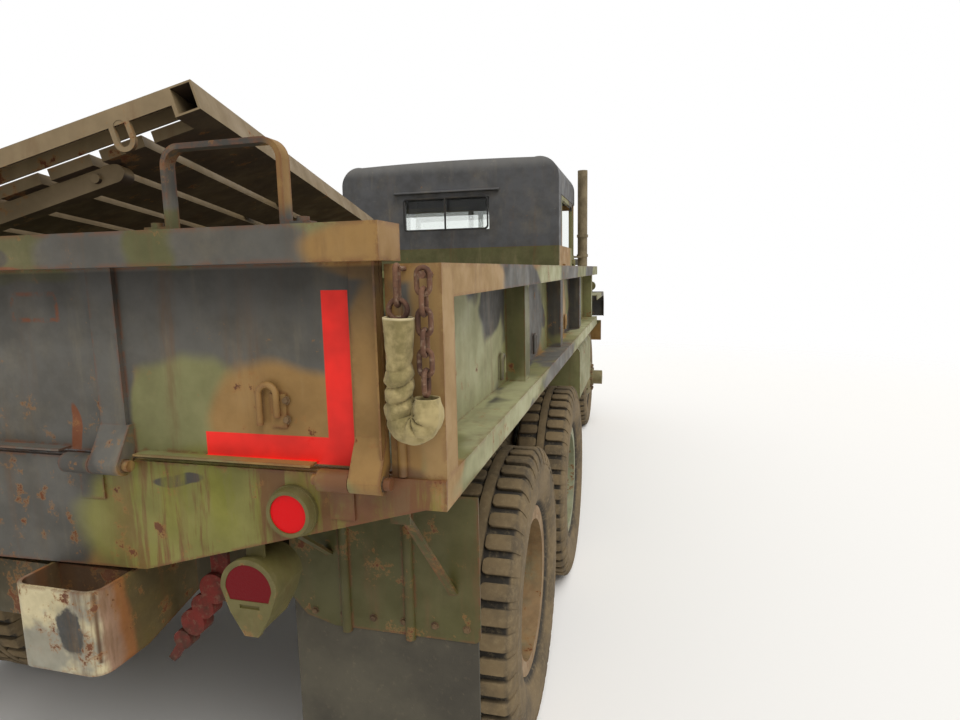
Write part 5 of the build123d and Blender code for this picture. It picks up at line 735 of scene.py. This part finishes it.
def islands(name):
    """Lowest and highest corner of each solid in a CAD node."""
    work = bmesh.new()
    work.from_mesh(NODES[name].data)
    bmesh.ops.remove_doubles(work, verts=work.verts, dist=SAME_PLACE)
    left = set(work.verts)
    boxes = []
    while left:
        stack = [left.pop()]
        found = list(stack)
        while stack:
            for edge in stack.pop().link_edges:
                for vert in edge.verts:
                    if vert in left:
                        left.discard(vert)
                        stack.append(vert)
                        found.append(vert)
        low = Vector([min(v.co[i] for v in found) for i in range(3)])
        high = Vector([max(v.co[i] for v in found) for i in range(3)])
        boxes.append((low, high))
    work.free()
    return sorted(boxes, key=lambda pair: tuple(round(value, 4) for value in (*pair[0], *pair[1])))


# Tyres

BARS = 45
CARCASS_STEPS = 120
# Carcass section from the bead to the middle of the tread: x and radius
CARCASS = ((0.089, 0.2545), (0.089, 0.2935), (0.103, 0.304), (0.113, 0.320), (0.121, 0.339),
           (0.1262, 0.361), (0.1288, 0.384), (0.1290, 0.406), (0.1276, 0.425), (0.1286, 0.428),
           (0.1280, 0.433), (0.1262, 0.437), (0.1235, 0.458), (0.1175, 0.478), (0.112, 0.488),
           (0.103, 0.4935), (0.060, 0.4945), (0.0195, 0.4945), (0.0175, 0.5075), (0.006, 0.5092))
# One bar from its inner end over the shoulder: top x and radius, foot x and radius, half width
BAR = ((0.0215, 0.5035, 0.024, 0.488, 0.0110), (0.0235, 0.5085, 0.026, 0.488, 0.0165),
       (0.0285, 0.5097, 0.030, 0.488, 0.0215), (0.0375, 0.5099, 0.038, 0.488, 0.0245),
       (0.0990, 0.5094, 0.098, 0.486, 0.0245), (0.1085, 0.5035, 0.102, 0.482, 0.0245),
       (0.1185, 0.4880, 0.107, 0.474, 0.0238), (0.1245, 0.4680, 0.112, 0.458, 0.0225),
       (0.1270, 0.4480, 0.118, 0.445, 0.0200))
BAR_CHAMFER = 0.0028
TREAD_RADIUS = 0.510
GROOVE_RADIUS = 0.4955
# Dust on the side walls, which begin this far from the tyre's middle
WALL_X = 0.110
WALL_DUST = 0.85


def add_tyre(form, middle):
    """Tyre about the X axis through middle: a carcass with a centre rib, and two rows of heavy bars."""
    section = CARCASS + tuple((-x, r) for x, r in reversed(CARCASS))
    rings = []
    for i in range(CARCASS_STEPS):
        angle = 2 * math.pi * i / CARCASS_STEPS
        rings.append([middle + Vector((x, r * math.cos(angle), r * math.sin(angle))) for x, r in section])
    form.rings(rings, True)
    for side in (-1, 1):
        for i in range(BARS):
            turn = 2 * math.pi * (i + (0.25 if side > 0 else 0.75)) / BARS
            stations = []
            for top_x, top_r, foot_x, foot_r, half in BAR:
                edge = half - BAR_CHAMFER
                low_r = top_r - BAR_CHAMFER
                outline = ((-half, foot_x, foot_r), (-half, top_x, low_r), (-edge, top_x, top_r),
                           (edge, top_x, top_r), (half, top_x, low_r), (half, foot_x, foot_r))
                ring = []
                for along, x, r in outline:
                    angle = turn + along / TREAD_RADIUS
                    ring.append(middle + Vector((side * x, r * math.cos(angle), r * math.sin(angle))))
                stations.append(ring)
            form.rings(stations, False)


def tyres():
    wheels = [(f"tyre_front_{side}", f"wheel_front_{side}") for side in ("right", "left")]
    wheels += [(f"tyres_{place}_{side}", f"wheel_{place}_{side}") for place in ("mid", "rear")
               for side in ("right", "left")]
    wheels.append(("spare_tyre", "root"))
    for name, body in wheels:
        form = Form()
        middles = [(low + high) / 2 for low, high in islands(name)]
        for middle in middles:
            add_tyre(form, middle)
        made = form.place(name.replace("tyre", "treaded_tyre"), body, RUBBER, "tyre_rubber", smooth=True)

        # Wear value: dust on the side walls; across the tread, 0 at the groove floor up to 1 on the bar tops,
        # which gives the grooves painted shade
        def dust_and_groove_shade(vert):
            away = min(abs(vert.co.x - middle.x) for middle in middles)
            reach = math.hypot(vert.co.y - middles[0].y, vert.co.z - middles[0].z)
            return WALL_DUST if away > WALL_X else (reach - GROOVE_RADIUS) / (TREAD_RADIUS - GROOVE_RADIUS)

        set_wear(made, dust_and_groove_shade)
        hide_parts(name)


# Wheel nuts: x of each wheel's disc face, and the ring of nuts on it
NUT_FACES = (("front", "rim", 1.036), ("mid", "rims", 0.941), ("rear", "rims", 0.941))
NUT_COUNT = 10
NUT_CIRCLE = 0.124
NUT_RADIUS = 0.0155
NUT_HEIGHT = 0.022


def wheel_nuts():
    for place, disc, x in NUT_FACES:
        for side, way in (("right", 1), ("left", -1)):
            axle = sum(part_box(f"{disc}_{place}_{side}"), Vector()) / 2
            form = Form()
            for i in range(NUT_COUNT):
                angle = 2 * math.pi * i / NUT_COUNT
                y = axle.y + NUT_CIRCLE * math.cos(angle)
                z = axle.z + NUT_CIRCLE * math.sin(angle)
                form.bolt((way * x, y, z), (way, 0, 0), NUT_RADIUS, NUT_HEIGHT)
            form.place(f"nuts_{place}_{side}", f"wheel_{place}_{side}", NUT_STEEL, "wheel_paint")


# Chains and their canvas sleeves

CHAIN_BAR = 0.009
# A solid of the chain is a link where it is longer than this and no thicker than this
LINK_LENGTH = 0.030
LINK_THICKNESS = 0.00945
# The sleeve's ring is wider than this, and its hanger longer; the ring drops into the mouth by this
RING_WIDTH = 0.040
HANGER_LENGTH = 0.055
RING_DROP = 0.014
# The chain's own pin is lower than this; the hanger's is a rod, inset at its root and at its end
PIN_HEIGHT = 0.016
ROD_RADIUS = 0.0045
ROD_INSETS = (0.001, 0.004)
ARC_STEPS = 8


def link_line(middle, across, length, width):
    """Centreline of a link that stands upright, its bends toward across."""
    bend = (width - CHAIN_BAR) / 2
    straight = (length - width) / 2
    line = []
    for sign in (1, -1):
        for i in range(ARC_STEPS + 1):
            angle = math.pi * i / ARC_STEPS
            line.append(middle + sign * (across * (bend * math.cos(angle)) +
                                         Vector((0, 0, straight + bend * math.sin(angle)))))
    return line


def chains():
    """Round-bar links and pins in the places of the flat ones, by each solid's box."""
    form = Form()
    for low, high in islands("gate_chains"):
        size = high - low
        middle = (low + high) / 2
        ways = (Vector((1, 0, 0)), Vector((0, 1, 0)))
        across, normal = ways if size.x >= size.y else reversed(ways)
        width = max(size.x, size.y)
        if size.x > RING_WIDTH:
            middle.z -= RING_DROP
        elif size.z > HANGER_LENGTH:
            middle.z -= RING_DROP / 2
            size.z += RING_DROP
        if min(size.x, size.y) < LINK_THICKNESS and size.z > LINK_LENGTH:
            form.tube(link_line(middle, across, size.z, width), normal, CHAIN_BAR / 2)
            continue
        pin = size.z < PIN_HEIGHT
        first, last, steps = (low.y, high.y, 4) if pin else (high.y - ROD_INSETS[0], low.y + ROD_INSETS[1], 2)
        line = [Vector((middle.x, first + (last - first) * i / steps, middle.z)) for i in range(steps + 1)]
        form.tube(line, Vector((1, 0, 0)), size.z / 2 if pin else ROD_RADIUS, 10, closed=False)
    made = form.place("round_link_chains", "root", CHAIN_STEEL, "rusty_steel", smooth=True)
    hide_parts("gate_chains")


# Sleeve along its length from the top mouth: share of the length and radius
SLEEVE_GIRTH = ((0.0, 0.0250), (0.10, 0.0240), (0.24, 0.0200), (0.34, 0.0230), (0.43, 0.0210),
                (0.54, 0.0230), (0.66, 0.0252), (0.80, 0.0256), (0.92, 0.0262), (1.0, 0.0208))
# Creases: middle and spread in shares of the length, depth, and phase over the whole length
LEG_CREASES = (0.43, 0.15, 0.0092, 34)
BEND_CREASES = (0.80, 0.13, 0.0062, 38)
# Depths: the bend's sunken inside, crumples everywhere, more of them where creased, and flutes
BEND_SINK = 0.0022
CRUMPLE = 0.0014
CREASED_CRUMPLE = 0.0036
FLUTE = 0.0009
SLEEVE_SIDES = 56
SLEEVE_BEND = 0.0245
LEG_STEPS = 70
BEND_STEPS = 44
END_STEPS = 12
# Radius of the plain sleeve in the CAD, shift of the mouth from the leg's line, and length past the bend
PLAIN_RADIUS = 0.020
MOUTH_SHIFT = (0.007, -0.006)
END_LENGTH = 0.030
CLOTH_THICKNESS = 0.0014


def pleat(phase):
    """Round bulges between sharp creases, from -0.7 to 0.3."""
    return abs(math.sin(phase)) ** 0.5 - 0.7


def step_between(table, share):
    """Value of a table of (share, value) pairs at a share, in smooth steps."""
    for (first, low), (last, high) in zip(table, table[1:]):
        if share <= last:
            part = (share - first) / (last - first)
            part = part * part * (3 - 2 * part)
            return low + (high - low) * part
    return table[-1][1]


def sleeve_radius(share, angle, sign):
    """Radius at a share of the length: girth, creases in the leg and inside the bend, and crumples."""
    inner = sign * math.sin(angle)
    size = step_between(SLEEVE_GIRTH, share)
    middle, reach, depth, phase = LEG_CREASES
    leg = math.exp(-((share - middle) / reach) ** 2)
    size += depth * leg * pleat(phase * share + 0.8 * math.cos(angle) + 0.5 * inner)
    middle, reach, depth, phase = BEND_CREASES
    bend = math.exp(-((share - middle) / reach) ** 2)
    size += depth * bend * (inner + 1.1) * pleat(phase * share + 0.9 * math.cos(angle) + 0.6 * inner)
    size -= BEND_SINK * bend * max(0.0, inner)
    crumple = noise.noise(Vector((2.2 * math.cos(angle), 2.2 * inner, 22 * share + 5 * sign)))
    size += (CRUMPLE + CREASED_CRUMPLE * max(leg, bend)) * crumple
    return size + FLUTE * (1 - leg) * math.sin(5 * angle + 7 * share)


def sleeves():
    """Canvas tubes that hang in a hook shape, creased where they bend and open at both ends."""
    for sign, (low, high) in zip((-1, 1), islands("chain_sleeves")):
        y = (low.y + high.y) / 2
        chain_x = max(abs(low.x), abs(high.x)) - PLAIN_RADIUS
        leg_x = chain_x - 2 * SLEEVE_BEND
        bend_z = low.z + SLEEVE_BEND + PLAIN_RADIUS
        top = Vector((leg_x + MOUTH_SHIFT[0], y + MOUTH_SHIFT[1], high.z))
        foot = Vector((leg_x, y, bend_z))
        line = [top.lerp(foot, i / LEG_STEPS) for i in range(LEG_STEPS + 1)]
        for i in range(1, BEND_STEPS + 1):
            turn = math.pi * i / BEND_STEPS
            x = chain_x - SLEEVE_BEND * (1 + math.cos(turn))
            line.append(Vector((x, y, bend_z - SLEEVE_BEND * math.sin(turn))))
        line += [Vector((chain_x, y, bend_z + END_LENGTH * i / END_STEPS)) for i in range(1, END_STEPS + 1)]
        line = [Vector((sign * point.x, point.y, point.z)) for point in line]
        form = Form()

        def radius(share, angle):
            return sleeve_radius(share, angle, sign)

        form.tube(line, Vector((0, 1, 0)), radius, SLEEVE_SIDES, closed=False, caps=False)
        side = "right" if sign > 0 else "left"
        made = form.place("chain_sleeve_" + side, "root", SLEEVE, "canvas", smooth=True)
        set_wear(made, lambda vert: 1.0 if vert.index // SLEEVE_SIDES < 2 else 0.0)
        cloth = made.modifiers.new("cloth", "SOLIDIFY")
        cloth.thickness = CLOTH_THICKNESS
        cloth.offset = 0.0
        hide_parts("chain_sleeves")


# Seats

PAD_SHRINK = 0.010
PAD_VOXEL = 0.012
PAD_PRESSURE = 4.0
PAD_FRAMES = 20
PAD_LIMIT = 0.016
PAD_CUTS = 16
# A pad's corners are cut back from this distance on, by this share of what is past it, in half sizes
CORNER_START = 1.22
CORNER_CUT = 0.16
CHANNEL_DEPTH = 0.007
CHANNEL_WIDTH = 0.009
CHANNEL_PITCH = 0.12


def pad_form(low, high):
    """Box with full corners cut back, as a mesh of even voxels."""
    work = bmesh.new()
    bmesh.ops.create_cube(work, size=2.0)
    bmesh.ops.subdivide_edges(work, edges=work.edges, cuts=PAD_CUTS, use_grid_fill=True)
    middle = (low + high) / 2
    half = (high - low) / 2 - Vector((PAD_SHRINK, PAD_SHRINK, PAD_SHRINK))
    for vert in work.verts:
        corner = 1.0 - max(0.0, vert.co.length - CORNER_START) * CORNER_CUT
        vert.co = middle + Vector([vert.co[i] * corner * half[i] for i in range(3)])
    mesh = bpy.data.meshes.new("pad")
    work.to_mesh(mesh)
    work.free()
    block = linked("pad", mesh)
    remesh = block.modifiers.new("voxels", "REMESH")
    remesh.mode = "VOXEL"
    remesh.voxel_size = PAD_VOXEL
    even = bpy.data.meshes.new_from_object(block.evaluated_get(bpy.context.evaluated_depsgraph_get()))
    bpy.data.objects.remove(block)
    return even


def inflate(piece):
    """Blows the pad up as cloth and keeps the result, with no point moved far."""
    scene = bpy.context.scene
    cloth = piece.modifiers.new("cloth", "CLOTH")
    cloth.settings.use_pressure = True
    cloth.settings.uniform_pressure_force = PAD_PRESSURE
    cloth.settings.effector_weights.gravity = 0.0
    cloth.point_cache.frame_end = PAD_FRAMES
    for step in range(1, PAD_FRAMES + 1):
        scene.frame_set(step)
    blown = piece.evaluated_get(bpy.context.evaluated_depsgraph_get())
    moved = [vert.co.copy() for vert in blown.data.vertices]
    piece.modifiers.remove(cloth)
    scene.frame_set(1)
    for vert, target in zip(piece.data.vertices, moved):
        shift = target - vert.co
        vert.co += shift * min(1.0, PAD_LIMIT / max(shift.length, PAD_LIMIT))


def cushion(name, low, high, channels, thin):
    """Crowned pad in a box, with sewn channels across it; thin is the axis of its thickness."""
    mesh = pad_form(low, high)
    made = linked(name, mesh)
    inflate(made)
    pitch = (high.x - low.x) / channels
    for vert in mesh.vertices:
        away = abs((vert.co.x - low.x + pitch / 2) % pitch - pitch / 2)
        away = away if pitch / 2 < vert.co.x - low.x < high.x - low.x - pitch / 2 else pitch
        if vert.co[thin] > (low[thin] + high[thin]) / 2:
            vert.co[thin] -= CHANNEL_DEPTH * math.exp(-(away / CHANNEL_WIDTH) ** 2)
        vert.co = [min(max(vert.co[i], low[i]), high[i]) for i in range(3)]
    mesh.materials.clear()
    mesh.materials.append(SEAT)
    mesh.shade_smooth()
    finer = made.modifiers.new("finer", "SUBSURF")
    finer.levels = 1
    finer.render_levels = 1
    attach(made, "root")
    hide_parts("seat_cushions")


def cushions():
    for i, (low, high) in enumerate(islands("seat_cushions")):
        size = high - low
        thin = 2 if size.z < size.y else 1
        cushion(f"cushion_{i + 1}", low, high, max(3, round(size.x / CHANNEL_PITCH)), thin)


# Small fasteners

# Hook plate: its outer face and where its rivets are
HOOK_FACE = -3.1165
HOOK_X = 0.9165
HOOK_HEIGHTS = (1.392, 1.428)
# Mudguard: its rear face and the row of bolts over the flap, as x and z
GUARD_FACE = -2.8665
GUARD_ROW = [(0.80 + 0.075 * i, 0.862) for i in range(6)]
# Gate hinges: y and z of their pins, and x of the pins' ends
HINGE_PIN = (-3.1435, 1.292)
HINGE_ENDS = (1.114, 0.570)
# Front bumper: its rear face and the bolts of the tow eyes, as x and z
BUMPER_BACK = 3.3533
BUMPER_BOLTS = [(x, z) for x in (0.38, 0.41) for z in (0.88, 0.99)]


def mirrored_centres(y, places):
    """Centres at y for (x, z) places on the right, then on the left."""
    return [(side * x, y, z) for side in (1, -1) for x, z in places]


def fasteners():
    hooks = mirrored_centres(HOOK_FACE, [(HOOK_X, z) for z in HOOK_HEIGHTS])
    guards = mirrored_centres(GUARD_FACE, GUARD_ROW)
    bumper = mirrored_centres(BUMPER_BACK, BUMPER_BOLTS)
    pins = [(x, *HINGE_PIN) for x in HINGE_ENDS]
    left_pins = [(-x, *HINGE_PIN) for x in HINGE_ENDS]
    # Name, body, outward axis, head radius and height, and the centres
    for name, body, axis, radius, height, centres in (
            ("hook_rivets", "tailgate", (0, -1, 0), 0.0062, 0.0060, hooks),
            ("guard_bolts", "root", (0, -1, 0), 0.0070, 0.0060, guards),
            ("hinge_bolts_right", "root", (1, 0, 0), 0.0105, 0.0090, pins),
            ("hinge_bolts_left", "root", (-1, 0, 0), 0.0105, 0.0090, left_pins),
            ("bumper_bolts", "root", (0, 1, 0), 0.0110, 0.0090, bumper)):
        form = Form()
        for centre in centres:
            form.bolt(centre, axis, radius, height)
        form.place(name, body, NUT_STEEL, "camouflage_paint")


# Cab rear window

WINDOW_HALF = 0.355
WINDOW_LOW = 1.985
WINDOW_HIGH = 2.240
# Rubber seal: overlap round the opening, width, and its depth behind and before the ledge's rear edge
SEAL_OVERLAP = 0.004
SEAL_WIDTH = 0.014
SEAL_PROUD = 0.005
SEAL_SUNK = 0.001
SEAL_ROUND = 0.002
POST_RADIUS = 0.008
CORNER_RADIUS = 0.030
CORNER_STEPS = 6


def rounded_outline(half_x, low, high, radius):
    """Corners of an upright rounded rectangle, as x and z."""
    points = []
    for x, z, start in ((half_x - radius, high - radius, 0), (radius - half_x, high - radius, 90),
                        (radius - half_x, low + radius, 180), (half_x - radius, low + radius, 270)):
        for i in range(CORNER_STEPS + 1):
            angle = math.radians(start + 90 * i / CORNER_STEPS)
            points.append((x + radius * math.cos(angle), z + radius * math.sin(angle)))
    return points


def window_seal():
    """Rubber seal and middle post of the cab's rear window, level with the rear edge of the ledge over it."""
    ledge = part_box("hardtop")[0].y
    form = Form()
    loops = []
    # Inset from the outer outline and distance behind the ledge's edge
    for inset, back in ((0.0, -SEAL_SUNK), (SEAL_ROUND, SEAL_PROUD), (SEAL_WIDTH - SEAL_ROUND, SEAL_PROUD),
                        (SEAL_WIDTH, -SEAL_SUNK)):
        grown = SEAL_OVERLAP - inset
        outline = rounded_outline(WINDOW_HALF + grown, WINDOW_LOW - grown, WINDOW_HIGH + grown,
                                  CORNER_RADIUS - inset / 2)
        loops.append([Vector((x, ledge - back, z)) for x, z in outline])
    form.rings([list(ring) for ring in zip(*loops)], True)
    post = [Vector((0.0, ledge - SEAL_SUNK, z)) for z in (WINDOW_LOW, WINDOW_HIGH)]
    form.tube(post, Vector((0, 1, 0)), POST_RADIUS, 8, closed=False)
    form.place("rear_window_seal", "root", FINISH["black_plastic"], "black_plastic", smooth=True)


# Studio

FLOOR_SIZE = 40.0
FLOOR_FADE = (5.5, 12.0)
# Light of the sky on the truck; the sky itself shows as full white
SKY_LIGHT = 0.62
KEY_ENERGY = 2.1
KEY_ANGLE = math.radians(50)
KEY_PLACE = (3.5, -4.5, 8.0)
KEY_TARGET = Vector((0.0, -1.5, 1.0))


def studio():
    scene = bpy.context.scene
    scene.view_settings.view_transform = "Standard"
    world = bpy.data.worlds.new("studio")
    scene.world = world
    world.use_nodes = True
    tree = world.node_tree
    sky = tree.nodes["Background"]
    sky.inputs["Color"].default_value = (1.0, 1.0, 1.0, 1.0)
    path = node(tree, "ShaderNodeLightPath")
    seen = calc(tree, "ADD", path.outputs["Is Camera Ray"], path.outputs["Is Glossy Ray"], clamp=True)
    seen = calc(tree, "ADD", seen, path.outputs["Is Transmission Ray"], clamp=True)
    shown = times(tree, seen, 1.0 - SKY_LIGHT)
    tree.links.new(calc(tree, "ADD", shown, SKY_LIGHT), sky.inputs["Strength"])
    mesh = bpy.data.meshes.new("floor")
    form = bmesh.new()
    bmesh.ops.create_grid(form, x_segments=1, y_segments=1, size=FLOOR_SIZE)
    form.to_mesh(mesh)
    form.free()
    floor = linked("floor", mesh)
    paint, tree, shader = surface("floor", srgb(238, 236, 232), 0.95, 0.0, 0.1)
    reach = vector_calc(tree, "LENGTH", object_place(tree))
    clear = node(tree, "ShaderNodeBsdfTransparent").outputs[0]
    below = node(tree, "ShaderNodeNewGeometry").outputs["Backfacing"]
    fade = calc(tree, "MAXIMUM", spread(tree, reach, *FLOOR_FADE), below)
    mixed = node(tree, "ShaderNodeMixShader", None, {0: fade, 1: shader.outputs[0], 2: clear})
    tree.links.new(mixed.outputs[0], tree.nodes["Material Output"].inputs["Surface"])
    mesh.materials.append(paint)
    key = bpy.data.lights.new("key", "SUN")
    key.energy = KEY_ENERGY
    key.angle = KEY_ANGLE
    lamp = linked("key", key)
    lamp.location = KEY_PLACE
    lamp.rotation_euler = (KEY_TARGET - lamp.location).to_track_quat("-Z", "Y").to_euler()


camera()
studio()
dress_nodes()
tyres()
wheel_nuts()
chains()
sleeves()
cushions()
fasteners()
window_seal()
